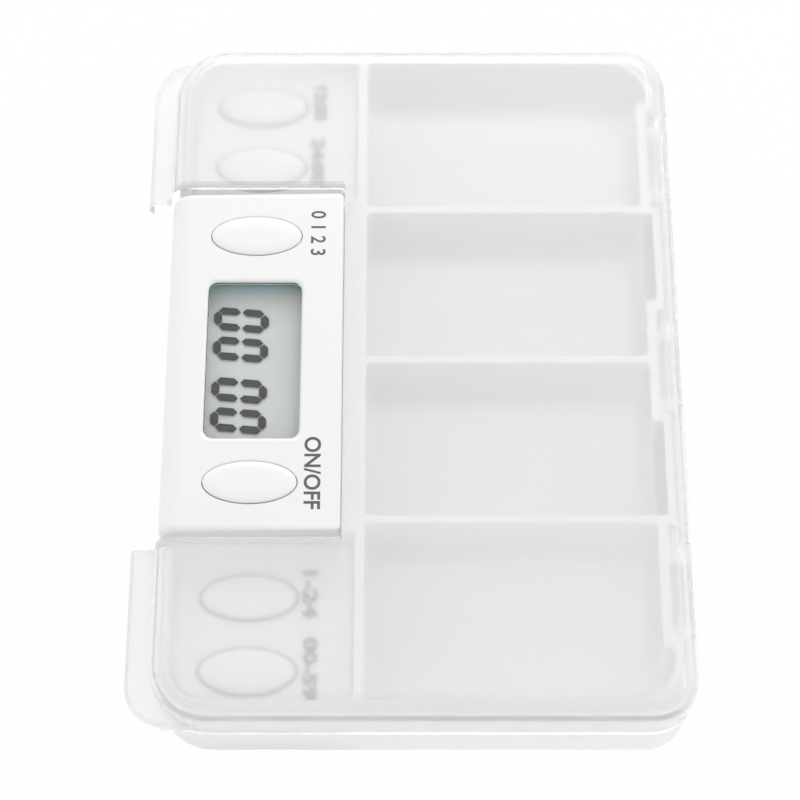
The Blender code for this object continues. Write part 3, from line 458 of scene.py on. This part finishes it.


# painted shadow of the opening's far wall, on the display's far end
displayFarShadow = {"paintedShadeColour": (0.32, 0.6, 0.66), "start": -15.2, "end": -10.8}
# painted shade on the display opening's far and front walls, below the window's top
openingWallShade = {
    "paintedShadeColour": (0.1, 0.14, 0.15), "middle": (-0.2, -25.2), "halfSizes": (13.2, 7.2), "highest": 19.95,
}
# painted shade: the lid's flange on the notch's far side is painted greyer
farFlangeShade = {
    "paintedShadeColour": (0.74, 0.745, 0.755), "middle": (-30.95, -25.5), "halfSizes": (0.62, 14.8), "highest": 21,
}
lidFrost = {"facing": (0.75, 0.97), "clearFrom": 20.1, "frostedTo": 19.5, "clearRoughness": 0.06}
# painted shade on the display's far end, on the display opening's walls and on the lid's far flange
paintFarShadow(materials["displayFace"], **displayFarShadow)
paintShadeInside(materials["glossyHousing"], **openingWallShade)
paintShadeInside(materials["frostedLid"], **farFlangeShade)
frostTheTop(materials["frostedLid"], **lidFrost)

nodeLooks = {
    "timer_bottom_cover": "glossyHousing",
    "battery_door": "glossyHousing",
    "circuit_board": "greenBoard",
    "chip": "blackResin",
    "buzzer": "brassSheet",
}
for name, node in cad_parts.items():
    look = nodeLooks.get(name, "nickelSteel")
    if name.endswith("_switch"):
        look = "blackSwitch"
    elif name.startswith("display_connector"):
        look = "blackRubber"
    for slot in node.material_slots:
        slot.material = materials[look]
print("materials made")


# The tray

traySizes = {
    "baseX": 58.35, "baseFront": -38.9, "baseBack": 42.7, "baseTop": 10.5, "baseRadii": (8.4, 6.4),
    "bottomRound": 1.5, "ledgeRound": 0.45,
    "wallX": 56.88, "wallFront": -37.8, "wallBack": 41.2, "wallTop": 18.7, "wallRadii": (7.7, 9.2),
    "rimRound": 2.4, "floor": 1.6, "filletRadius": 0.8, "edgeRound": 0.2,
    "ribFront": -8.5, "ribBack": -7.0, "compartmentBack": 37.75, "compartmentRadius": 0.9,
    # compartments and alcoves: inner side, outer side, radius of the outer back corner
    "compartments": ((0.65, 26.35, 0.9), (27.65, 55.41, 6.6)),
    "alcoves": ((10.5, 26.35, 0.9), (47.25, 55.41, 6.6)),
    "alcoveBack": 39.6, "alcoveFloor": 3.8, "alcoveDepth": 0.9, "alcoveRound": 0.8,
    "pocketFace": 39.35, "pocketRadius": 0.5, "pockets": ((-45.85, -27.65), (-9.1, 9.1), (27.65, 45.85)),
    "bayX": 55.41, "bayFront": -36.4, "bayRadii": (6.3, 1.5), "bayStepX": 29.0, "bayStepY": -10.6,
    "frontOpening": 31.75,
}
hinge = {
    "centres": (-37.9, 0, 37.9), "y": 41.4, "z": 13.2, "barRadius": 1.0,
    "earInner": 4.9, "earOuter": 7.2, "earRadius": 1.7, "earRoot": 38.55, "earSlope": 0.7,
    "hookInner": 1.15, "hookOuter": 1.85, "hookWidth": 9.2, "mouthHalf": 0.75, "mouthDepth": 4,
    "armThickness": 0.75, "armOut": 1.3, "armOverlap": 0.4, "padFront": 37.0, "padBottom": 19.0,
}


def roundUprights(cutter, back, x, radius, steps):    # the upright back edge at one side
    def test(place, run):
        return upright(place, run) and place.y > back - nearly and abs(place.x - x) < nearly
    roundEdges(cutter, test, radius, steps)


def compartmentCutter(inner, outer, cornerRadius):
    sizes = traySizes
    back = sizes["compartmentBack"]
    top = sizes["wallTop"] - sizes["edgeRound"]
    ys = (sizes["ribBack"], back)
    cutter = addBlock("compartmentCutter", sorted((inner, outer)), ys, (sizes["floor"], top))
    roundUprights(cutter, back, outer, cornerRadius, 12)
    roundEdges(
        cutter,
        lambda place, run: upright(place, run) and (place.y < 0 or abs(place.x - inner) < nearly),
        sizes["compartmentRadius"],
        8,
    )
    roundEdges(cutter, level(sizes["floor"]), sizes["filletRadius"], 7)
    return flareTop(cutter, quarterRound(sizes["edgeRound"], 3), 5)


def alcoveCutter(inner, outer, cornerRadius):    # the shallow bay behind a compartment
    sizes = traySizes
    back, floor = sizes["alcoveBack"], sizes["alcoveFloor"]
    top = sizes["wallTop"] - sizes["edgeRound"]
    front = back - cornerRadius - sizes["alcoveDepth"]
    cutter = addBlock("alcoveCutter", sorted((inner, outer)), (front, back), (floor, top))
    roundUprights(cutter, back, outer, cornerRadius, 12)
    roundUprights(cutter, back, inner, sizes["alcoveRound"], 6)
    roundEdges(cutter, level(floor), sizes["alcoveRound"], 5)
    return flareTop(cutter, quarterRound(sizes["edgeRound"], 3), 5)


def makeEar(centre, side):
    outer = hinge["y"] + hinge["earRadius"]
    top = hinge["z"] + hinge["earRadius"]
    base = traySizes["baseTop"]
    xs = sorted((centre + side * hinge["earInner"], centre + side * hinge["earOuter"]))
    ear = addBlock("hingeEar", xs, (hinge["earRoot"], outer), (base - overlap, top))
    roundEdges(
        ear,
        lambda place, run: place.y > outer - nearly and place.z > top - nearly,
        hinge["earRadius"] - nearly,
        10,
    )
    chooseEdges(ear, lambda place, run: place.y > outer - nearly and place.z < base)
    bpy.ops.transform.translate(value=(0, -hinge["earSlope"] * mm, 0))
    closeMesh()
    return ear


def makeTray():
    sizes = traySizes
    tray = addRoundBlock(
        "trayBody", (-sizes["baseX"], sizes["baseX"]), (sizes["baseFront"], sizes["baseBack"]),
        (0, sizes["baseTop"]), *sizes["baseRadii"],
    )
    roundEdges(tray, level(0), sizes["bottomRound"], 5)
    roundEdges(tray, level(sizes["baseTop"]), sizes["ledgeRound"], 3)
    wall = addRoundBlock(
        "trayWall", (-sizes["wallX"], sizes["wallX"]), (sizes["wallFront"], sizes["wallBack"]),
        (sizes["baseTop"] - overlap, sizes["wallTop"]), *sizes["wallRadii"],
    )
    roundEdges(wall, level(sizes["wallTop"]), sizes["rimRound"], 8)
    cuts = []
    for xs in sizes["pockets"]:
        ys = (sizes["pocketFace"], outside)
        cuts.append(addRoundBlock("pocketCutter", xs, ys, (low, high), sizes["pocketRadius"], 0, 5))
    opening = (-sizes["frontOpening"], sizes["frontOpening"])
    cuts.append(addBlock("openingCutter", opening, (-outside, sizes["bayFront"] + overlap), (low, high)))
    combine(wall, "DIFFERENCE", cuts)
    combine(tray, "UNION", [wall])

    ears, bars = [], []
    barLength = hinge["earInner"] + hinge["earOuter"]
    for centre in hinge["centres"]:
        ears += [makeEar(centre, -1), makeEar(centre, 1)]
        middle = (centre, hinge["y"], hinge["z"])
        bars.append(addRod("hingeBar", middle, hinge["barRadius"], barLength, 32, (0, quarterTurn, 0)))
    combine(tray, "UNION", ears + bars)

    for cutter, places in ((compartmentCutter, sizes["compartments"]), (alcoveCutter, sizes["alcoves"])):
        cuts = []
        for side in (-1, 1):
            cuts += [cutter(side * inner, side * outer, radius) for inner, outer, radius in places]
        combine(tray, "DIFFERENCE", cuts)

    bay = addRoundBlock(
        "bayCutter", (-sizes["bayX"], sizes["bayX"]), (sizes["bayFront"], sizes["ribFront"]),
        (sizes["floor"], high), *sizes["bayRadii"],
    )
    stepXs = (-sizes["bayStepX"], sizes["bayStepX"])
    step = addBlock("stepCutter", stepXs, (sizes["bayStepY"], 0), (low, high + 5))    # past the bay's cutter
    combine(bay, "DIFFERENCE", [step])
    return combine(tray, "DIFFERENCE", [bay])


finishPiece(makeTray(), materials["milkyTray"], "base", ["compartment_tray"])
print("tray modelled")


# The lid

lidSizes = {
    "x": 58.51, "front": -39.5, "back": 43.3, "bottom": 10.8, "top": 20.5, "wall": 1.3, "draft": 0.4,
    "radii": (9, 7), "edgeRound": 3.6, "cutFront": 37.75,
    "skirtCutX": 56.01, "skirtCutTop": 14.0, "skirtCutRound": 0.6,
    "hingeCutX": 7.5, "hingeCutTop": 17.8, "hingeCutRound": 0.5,
    "notchX": 30.35, "notchBack": -10.52, "notchRadius": 1.0, "notchRound": 0.22,
    "flangeWall": 1.0, "flangeBottom": 16.5,
    "lipFront": -43.3, "lipTop": 14.45, "lipBottom": 11.75, "lipRadius": 7, "lipEnd": -30.5, "lipFade": 0.3,
    "lipRound": 1.3, "lipInset": 0.9,
}


def makeLip(side):
    sizes = lidSizes
    inner, outer = side * (sizes["notchX"] - overlap), side * sizes["x"]
    front, end = sizes["lipFront"], sizes["lipEnd"]
    zs = (sizes["lipBottom"], sizes["lipTop"])
    lip = addBlock("fingerLip", sorted((inner, outer)), (front, end), zs)

    def outerUpright(place, run):
        return upright(place, run) and abs(place.x - outer) < nearly

    roundEdges(
        lip,
        lambda place, run: outerUpright(place, run) and place.y < front + nearly,
        sizes["lipRadius"],
        16,
    )
    chooseEdges(lip, lambda place, run: outerUpright(place, run) and place.y > end - nearly)
    bpy.ops.transform.translate(value=(-side * sizes["lipFade"] * mm, 0, 0))
    closeMesh()

    def free(place):    # not where the lip joins the lid
        return place.y < end - nearly and abs(place.x) > abs(inner) + nearly

    for height in reversed(zs):
        roundEdges(lip, lambda place, run: level(height)(place, run) and free(place), sizes["lipRound"], 6)
    inset = sizes["lipInset"]
    inside = addRoundBlock(
        "lipTrimmer", (-sizes["x"] + inset, sizes["x"] - inset), (sizes["front"] + inset, sizes["back"]),
        (low, high), sizes["radii"][0] - inset, 0, 16,
    )
    return combine(lip, "DIFFERENCE", [inside])


def makeHook(centre):
    y, z, width = hinge["y"], hinge["z"], hinge["hookWidth"]
    across = (0, quarterTurn, 0)
    hook = addRod("hook", (centre, y, z), hinge["hookOuter"], width, 40, across)
    hole = addRod("hookHole", (centre, y, z), hinge["hookInner"], width + 2, 40, across)
    mouth = addBlock(
        "hookMouth", (centre - width, centre + width), (y - hinge["mouthHalf"], y + hinge["mouthHalf"]),
        (z - hinge["mouthDepth"], z),
    )
    armBack = y + hinge["armOut"]
    arm = addBlock(
        "hookArm", (centre - width / 2, centre + width / 2), (armBack - hinge["armThickness"], armBack),
        (z, lidSizes["hingeCutTop"] + hinge["armOverlap"]),
    )
    combine(hook, "UNION", [arm])
    return combine(hook, "DIFFERENCE", [hole, mouth])


def makeShell():
    sizes = lidSizes
    lid = addRoundBlock(
        "lidShell", (-sizes["x"], sizes["x"]), (sizes["front"], sizes["back"]),
        (sizes["bottom"], sizes["top"]), *sizes["radii"], 16,
    )
    depth = sizes["back"] - sizes["front"]
    middle = Vector((0, (sizes["front"] + sizes["back"]) / 2, sizes["top"])) * mm
    chooseFaces(lid, facingUp)
    narrowing = (1 - sizes["draft"] / sizes["x"], 1 - sizes["draft"] * 2 / depth, 1)
    bpy.ops.transform.resize(value=narrowing, center_override=middle)
    closeMesh()
    roundEdges(lid, level(sizes["top"]), sizes["edgeRound"], 12)
    chooseFaces(lid, lambda place, normal: normal.z < -0.9)
    bpy.ops.mesh.delete(type="ONLY_FACE")
    closeMesh()
    shell = lid.modifiers.new("wall", "SOLIDIFY")
    shell.thickness = sizes["wall"] * mm
    shell.offset = -1
    shell.use_even_offset = True
    applyModifiers(lid)
    return lid


def backCutter(name, xs, top, radius):    # an opening in the lid's back wall
    cutter = addBlock(name, xs, (lidSizes["cutFront"], outside), (low, top))
    roundEdges(cutter, lambda place, run: place.z > top - nearly and abs(run.y) > nearly, radius, 4)
    return cutter


def makeFlange(side):
    sizes = lidSizes
    front = sizes["front"] + sizes["draft"] + sizes["wall"] / 2
    top = sizes["top"] - sizes["wall"] / 2
    xs = sorted((side * (sizes["notchX"] - overlap), side * (sizes["notchX"] + sizes["flangeWall"])))
    flange = addBlock("notchFlange", xs, (front, sizes["notchBack"]), (sizes["flangeBottom"], top))
    roundEdges(
        flange,
        lambda place, run: place.y < front + nearly and place.z > top - nearly and abs(run.x) > nearly,
        sizes["edgeRound"] - sizes["wall"] / 2,
        10,
    )
    return flange


def makeLid():
    sizes = lidSizes
    lid = makeShell()
    cutXs = (-sizes["skirtCutX"], sizes["skirtCutX"])
    cuts = [backCutter("skirtCutter", cutXs, sizes["skirtCutTop"], sizes["skirtCutRound"])]
    for centre in hinge["centres"]:
        cutXs = (centre - sizes["hingeCutX"], centre + sizes["hingeCutX"])
        cuts.append(backCutter("hingeCutter", cutXs, sizes["hingeCutTop"], sizes["hingeCutRound"]))
    combine(lid, "DIFFERENCE", cuts)

    additions = [makeLip(-1), makeLip(1), makeFlange(-1), makeFlange(1)]
    half = hinge["hookWidth"] / 2
    padYs = (hinge["padFront"], hinge["y"])
    padZs = (hinge["padBottom"], sizes["top"] - sizes["wall"] * 3 / 4)
    for centre in hinge["centres"]:
        additions.append(addBlock("hookPad", (centre - half, centre + half), padYs, padZs))
        additions.append(makeHook(centre))
    combine(lid, "UNION", additions)

    notch = addRoundBlock(
        "notchCutter", (-sizes["notchX"], sizes["notchX"]), (-outside, sizes["notchBack"]),
        (low, sizes["top"] - sizes["notchRound"]), 0, sizes["notchRadius"], 6,
    )
    flareTop(notch, quarterRound(sizes["notchRound"], 3), 5)
    return combine(lid, "DIFFERENCE", [notch])


finishPiece(makeLid(), materials["frostedLid"], "lid", ["lid"])
print("lid modelled")


# The timer's housing

housingSizes = {
    "deckX": 54.81, "deckFront": -36.1, "deckBack": -8.8, "deckBottom": 3.4, "deckTop": 13.4,
    "deckRadii": (6, 1.5), "deckRound": 0.8,
    "wall": 1.1, "topWall": 1.4, "hollowRadius": 4.9, "endHollow": -20,
    "blockX": 29.3, "blockFront": -38.8, "blockBack": -10.7, "blockBottom": 10.8, "blockTop": 20.5,
    "frontRoll": 3.6, "edgeRound": 0.9, "backRound": 0.45, "cornerRadius": 1.1,
    "bossRadius": 2.0, "boreRadius": 0.8, "boreTop": 9.4, "screws": ((43.725, -33.4), (43.725, -11.5)),
}
display = {
    "left": -13.2, "right": 14.0, "front": -32.225, "back": -17.275, "radius": 1.5, "cutBottom": 16,
    "rimOut": 0.6, "rimUp": 0.4, "rimProfile": ((0.12, 0.3), (0.35, 0.7), (1, 1)),
}
buttonSizes = {
    "y": -24.75, "length": 14.5, "width": 6.85, "gap": 0.13, "deckGap": 0.42,
    "holeRound": 0.25, "holeDepth": 3, "crown": 0.5, "sides": 96,
    "flangeShare": 1.1, "stemShare": 0.34, "flange": 0.7, "seat": 0.3,
    "domeShares": (0.99, 0.975, 0.955, 0.925, 0.88, 0.82, 0.74, 0.64, 0.52, 0.38, 0.22, 0.08),
}
buttons = {    # place along X, the surface around it, how far it stands above that
    "memory": (-21.425, 20.5, 0.5), "on_off": (21.425, 20.5, 0.5),
    "far_outer": (-49.575, 13.4, 0.75), "far_inner": (-37.875, 13.4, 0.75),
    "near_inner": (37.875, 13.4, 0.75), "near_outer": (49.575, 13.4, 0.75),
}


def buttonCutter(x, surface):
    sizes = buttonSizes
    gap = sizes["gap"] if surface > housingSizes["deckTop"] else sizes["deckGap"]
    along = sizes["length"] / 2 + gap
    across = sizes["width"] / 2 + gap
    bottom, top = surface - sizes["holeDepth"], surface - sizes["holeRound"]
    middle = (x, sizes["y"], (bottom + top) / 2)
    cutter = addRod("buttonCutter", middle, along, top - bottom, sizes["sides"], scale=(across / along, 1, 1))
    return flareTop(cutter, quarterRound(sizes["holeRound"], 3), 1)


def makeBlock():
    sizes = housingSizes
    front, back, top = sizes["blockFront"], sizes["blockBack"], sizes["blockTop"]
    xs = (-sizes["blockX"], sizes["blockX"])
    block = addBlock("raisedBlock", xs, (front, back), (sizes["blockBottom"], top))
    roundEdges(
        block, lambda place, run: place.y < front + nearly and place.z > top - nearly, sizes["frontRoll"], 12
    )
    roundEdges(
        block,
        lambda place, run: abs(run.x) > nearly and place.y > back - nearly and place.z > top - nearly,
        sizes["backRound"],
        4,
    )

    def atSides(place, run):    # the sides' edges, apart from the bottom ones and those at the back
        atSide = abs(place.x) > sizes["blockX"] - nearly and abs(run.x) < nearly
        return atSide and place.z > sizes["blockBottom"] + nearly and place.y < back - sizes["backRound"]

    roundEdges(block, atSides, sizes["edgeRound"], 5)
    outline = addRoundBlock("blockOutline", xs, (front - 1, back), (low, high), 0, sizes["cornerRadius"], 6)
    return combine(block, "INTERSECT", [outline])


def makeHollows():
    sizes = housingSizes
    wall = sizes["wall"]
    ceiling = sizes["deckTop"] - sizes["topWall"]
    inside = sizes["deckX"] - wall
    deckXs, deckYs = (-inside, inside), (sizes["deckFront"] + wall, sizes["blockBack"] - wall)
    hollows = [addRoundBlock("hollowCutter", deckXs, deckYs, (low, ceiling), sizes["hollowRadius"], 0)]
    for end in (-1, 1):
        xs = sorted((end * (sizes["blockX"] + wall), end * inside))
        endYs = (sizes["endHollow"], sizes["deckBack"] - wall)
        hollows.append(addBlock("hollowCutter", xs, endYs, (low, ceiling)))
    blockXs = (-sizes["blockX"] + wall, sizes["blockX"] - wall)
    blockYs = (sizes["blockFront"] + wall, sizes["blockBack"] - wall)
    blockZs = (sizes["blockBottom"] + wall, sizes["blockTop"] - sizes["topWall"])
    blockHollow = addBlock("hollowCutter", blockXs, blockYs, blockZs)
    roundEdges(
        blockHollow,
        lambda place, run: place.y < blockYs[0] + nearly and place.z > blockZs[1] - nearly,
        sizes["frontRoll"] - wall,
        6,
    )
    return hollows + [blockHollow]


def makeHousing():
    sizes = housingSizes
    housing = addRoundBlock(
        "timerHousing", (-sizes["deckX"], sizes["deckX"]), (sizes["deckFront"], sizes["deckBack"]),
        (sizes["deckBottom"], sizes["deckTop"]), *sizes["deckRadii"],
    )
    roundEdges(housing, level(sizes["deckTop"]), sizes["deckRound"], 5)
    step = addBlock("stepCutter", (-sizes["blockX"], sizes["blockX"]), (sizes["blockBack"], 0), (low, high))
    combine(housing, "DIFFERENCE", [step])
    combine(housing, "UNION", [makeBlock()])
    combine(housing, "DIFFERENCE", makeHollows())

    bosses, bores = [], []
    bottom = sizes["deckBottom"]
    top = sizes["deckTop"] - sizes["topWall"] + sizes["wall"] / 2
    boreTop = sizes["boreTop"]
    for end in (-1, 1):
        for x, y in sizes["screws"]:
            middle = (end * x, y, (bottom + top) / 2)
            bosses.append(addRod("screwBoss", middle, sizes["bossRadius"], top - bottom, 32))
            bores.append(addRod("screwBore", (end * x, y, boreTop / 2), sizes["boreRadius"], boreTop, 20))
    combine(housing, "UNION", bosses)
    combine(housing, "DIFFERENCE", bores)

    opening = addRoundBlock(
        "displayCutter", (display["left"], display["right"]), (display["front"], display["back"]),
        (display["cutBottom"], sizes["blockTop"] - display["rimUp"]), display["radius"], display["radius"], 8,
    )
    rises = [(display["rimOut"] * out, display["rimUp"] * up) for out, up in display["rimProfile"]]
    flareTop(opening, rises, 2)
    cutters = [opening] + [buttonCutter(x, surface) for x, surface, rise in buttons.values()]
    return combine(housing, "DIFFERENCE", cutters)


finishPiece(makeHousing(), materials["glossyHousing"], "base", ["timer_top_cover"])
print("housing modelled")


# The six oval buttons, each turned up from its stem to its dome

def makeButton(name, x, surface, rise):
    sizes = buttonSizes
    edge = surface + rise - sizes["crown"]
    flangeTop = surface - housingSizes["topWall"] - sizes["seat"]
    flangeBottom = flangeTop - sizes["flange"]
    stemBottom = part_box(f"{name}_button")[0].z / mm
    button = addRod(
        f"{name}ButtonCap", (x, sizes["y"], (stemBottom + flangeBottom) / 2),
        sizes["length"] / 2 * sizes["stemShare"], flangeBottom - stemBottom, sizes["sides"],
        scale=(sizes["width"] / sizes["length"], 1, 1),
    )
    flangeShare = sizes["flangeShare"]
    rings = [(flangeShare, flangeBottom), (flangeShare, flangeTop), (1, flangeTop), (1, edge)]
    rings += [(share, edge + sizes["crown"] * math.sqrt(1 - share ** 4)) for share in sizes["domeShares"]]
    chooseFaces(button, facingUp)
    lastShare, lastHeight = sizes["stemShare"], flangeBottom
    for share, height in rings:
        bpy.ops.mesh.extrude_region_move(TRANSFORM_OT_translate={"value": (0, 0, (height - lastHeight) * mm)})
        factor = share / lastShare
        middle = (x * mm, sizes["y"] * mm, height * mm)
        bpy.ops.transform.resize(value=(factor, factor, 1), center_override=middle)
        lastShare, lastHeight = share, height
    closeMesh()
    return button


for name, (x, surface, rise) in buttons.items():
    cap = makeButton(name, x, surface, rise)
    finishPiece(cap, materials["glossyButton"], f"{name}_key", [f"{name}_button"], 40)
print("buttons modelled")


# The display: a clear window, and under it a panel with its digits inside a thin glass

# Each plate: how far it reaches past the opening, its heights, corner radius and edge rounding, its material,
# a slot that is not used, and the node that it replaces
plates = {
    "clearDisplayWindow": (-0.06, (18.9, 19.9), 1.44, 0.15, "clearWindow", "window", ["display_window"]),
    "displayPanel": (1.8, (15.5, 17.3), 0.4, 0.08, "displayFace", "display", ["display_glass"]),
    "displayCoverGlass": (1.8, (17.31, 17.7), 0.4, 0.05, "thinGlass", "window", []),
}
digitSizes = {
    "starts": (-9.96, -4.78, 2.4, 7.58), "width": 4.05, "bottom": -31.4, "top": -22.6, "stroke": 1.27,
    "gap": 0.18, "tip": 0.04, "height": 17.5, "thickness": 0.04, "lean": 0.093,
}


def addPlate(name, margin, zs, radius, edgeRound, look, slot, nodes):
    xs = (display["left"] - margin, display["right"] + margin)
    ys = (display["front"] - margin, display["back"] + margin)
    piece = addRoundBlock(name, xs, ys, zs, radius, radius, 6)
    for height in zs:
        roundEdges(piece, level(height), edgeRound, 2)
    finishPiece(piece, materials[look], "base", nodes)


def barPlaces(left):    # the six bars of one zero, as places along X and along Y
    sizes = digitSizes
    stroke, gap = sizes["stroke"], sizes["gap"]
    bottom, top = sizes["bottom"], sizes["top"]
    right, middle, point = left + sizes["width"], (bottom + top) / 2, stroke / 2 + gap
    for y in (bottom, top - stroke):
        yield (left + point, right - point), (y, y + stroke)
    for x in (left, right - stroke):
        yield (x, x + stroke), (bottom + point, middle - gap)
        yield (x, x + stroke), (middle + gap, top - point)


def makeDigits():
    sizes = digitSizes
    zs = (sizes["height"], sizes["height"] + sizes["thickness"])
    bars = []
    for start in sizes["starts"]:
        for xs, ys in barPlaces(start):
            bar = addBlock("digitBar", xs, ys, zs)
            roundEdges(bar, upright, sizes["stroke"] / 2 - sizes["tip"], 1)
            bars.append(bar)
    digits = bars[0]
    activate(digits)
    for bar in bars:
        bar.select_set(True)
    bpy.ops.object.join()
    for corner in digits.data.vertices:    # the digits lean
        corner.co.x += sizes["lean"] * (corner.co.y - sizes["bottom"] * mm)
    digits.name = "displayDigits"
    digits.data.name = "displayDigits"
    return digits


for name, values in plates.items():
    addPlate(name, *values)
finishPiece(makeDigits(), materials["darkSegment"], "base")
print("display modelled")


# Printed labels: numbers and ON/OFF, read from the timer's side

labels = {    # words, left, right, bottom, top, the surface they are on, how bold
    "memoryNumbers": ("0 1 2 3", -26.0, -17.9, -16.0, -13.6, 20.5, 0.012),
    "onOffWords": ("ON/OFF", 13.9, 25.9, -16.4, -13.8, 20.5, 0.018),
    "farOuterNumbers": ("12:00", -53.9, -47.1, -16.2, -13.9, 13.4, 0.05),
    "farInnerNumbers": ("24:00", -43.6, -34.8, -16.5, -14.2, 13.4, 0.05),
    "nearInnerNumbers": ("1-24", 33.4, 41.3, -16.5, -14.2, 13.4, 0.05),
    "nearOuterNumbers": ("00-59", 44.2, 54.0, -16.4, -14.1, 13.4, 0.05),
}
printSizes = {"depth": 0.03, "thickness": 0.04, "sunk": 0.02, "curveSteps": 4}


def makeLabel(name, words, left, right, bottom, top, surface, boldness):
    bpy.ops.object.select_all(action="DESELECT")
    bpy.ops.object.text_add()
    text = bpy.context.object
    text.data.body = words
    text.data.extrude = printSizes["depth"]
    text.data.offset = boldness
    text.data.resolution_u = printSizes["curveSteps"]
    bpy.ops.object.convert(target="MESH")
    label = bpy.context.object
    corners = [corner.co for corner in label.data.vertices]
    start = [min(corner[axis] for corner in corners) for axis in range(3)]
    end = [max(corner[axis] for corner in corners) for axis in range(3)]
    wanted = (right - left, top - bottom, printSizes["thickness"])
    scale = [wanted[axis] / (end[axis] - start[axis]) for axis in range(3)]
    place = (left, bottom, surface - printSizes["sunk"])
    label.scale = [value * mm for value in scale]
    label.location = [(place[axis] - start[axis] * scale[axis]) * mm for axis in range(3)]
    return settle(label, name)


for name, values in labels.items():
    finishPiece(makeLabel(name, *values), materials["greyPrint"], "base")
print("labels made")


# Camera, floor, world and lights

camera = {"place": (143.46, -1.6, 325.55), "tilt": 24, "turn": 90, "lens": 96.17, "sensor": 36}
bpy.ops.object.camera_add(
    location=[value * mm for value in camera["place"]],
    rotation=(math.radians(camera["tilt"]), 0, math.radians(camera["turn"])),
)
eye = bpy.context.object
eye.name = "photoCamera"
eye.data.lens = camera["lens"]
eye.data.sensor_width = camera["sensor"]
eye.data.clip_start = 0.01
scene.camera = eye

stageLook = {
    "floorSize": 6000, "floorDrop": 0.02, "floorColour": (0.9, 0.9, 0.9), "floorRoughness": 0.9,
    "whiteShare": 0.97, "horizonLight": 1.27, "zenithLight": 0.57,
}
seenRays = ("Is Camera Ray", "Is Glossy Ray", "Is Transmission Ray")    # they see a white floor and world


def makeFloor():
    bpy.ops.object.select_all(action="DESELECT")
    drop = -stageLook["floorDrop"] * mm
    bpy.ops.mesh.primitive_plane_add(size=stageLook["floorSize"] * mm, location=(0, 0, drop))
    floor = bpy.context.object
    floor.name = "paleFloor"
    material = bpy.data.materials.new("paleFloor")
    material.use_nodes = True
    nodes, links = material.node_tree.nodes, material.node_tree.links
    shader = nodes["Principled BSDF"]
    shader.inputs["Base Color"].default_value = (*stageLook["floorColour"], 1)
    shader.inputs["Roughness"].default_value = stageLook["floorRoughness"]
    white = nodes.new("ShaderNodeEmission")
    white.inputs["Color"].default_value = (1, 1, 1, 1)
    share = addMath(nodes, "MULTIPLY", None, stageLook["whiteShare"])    # the rest keeps the shadow
    links.new(anyRay(nodes, links, seenRays), share.inputs[0])
    mixShaders(nodes, links, share.outputs[0], shader, white, nodes["Material Output"])
    floor.data.materials.append(material)
    return floor


def makeWorld():    # brighter at the horizon than overhead
    world = bpy.data.worlds.new("softWorld")
    world.use_nodes = True
    nodes, links = world.node_tree.nodes, world.node_tree.links
    light = nodes["Background"]
    light.inputs["Color"].default_value = (1, 1, 1, 1)
    white = nodes.new("ShaderNodeBackground")
    white.inputs["Color"].default_value = (1, 1, 1, 1)
    brightness = nodes.new("ShaderNodeMapRange")
    brightness.inputs["To Min"].default_value = stageLook["horizonLight"]
    brightness.inputs["To Max"].default_value = stageLook["zenithLight"]
    links.new(objectPlace(nodes, links, "Generated")["Z"], brightness.inputs["Value"])
    links.new(brightness.outputs[0], light.inputs["Strength"])
    mixShaders(nodes, links, anyRay(nodes, links, seenRays), light, white, nodes["World Output"])
    return world


makeFloor()
scene.world = makeWorld()

lamps = {
    "farSoftbox": {"place": (-560, 60, 420), "size": 420, "power": 1.75},
    "sideSoftbox": {"place": (60, 520, 360), "size": 360, "power": 0.2},
}
for name, lamp in lamps.items():
    place = Vector(lamp["place"]) * mm
    bpy.ops.object.light_add(type="AREA", location=place, rotation=place.to_track_quat("Z", "Y").to_euler())
    light = bpy.context.object
    light.name = name
    light.data.size = lamp["size"] * mm
    light.data.energy = lamp["power"]
print("stage set")
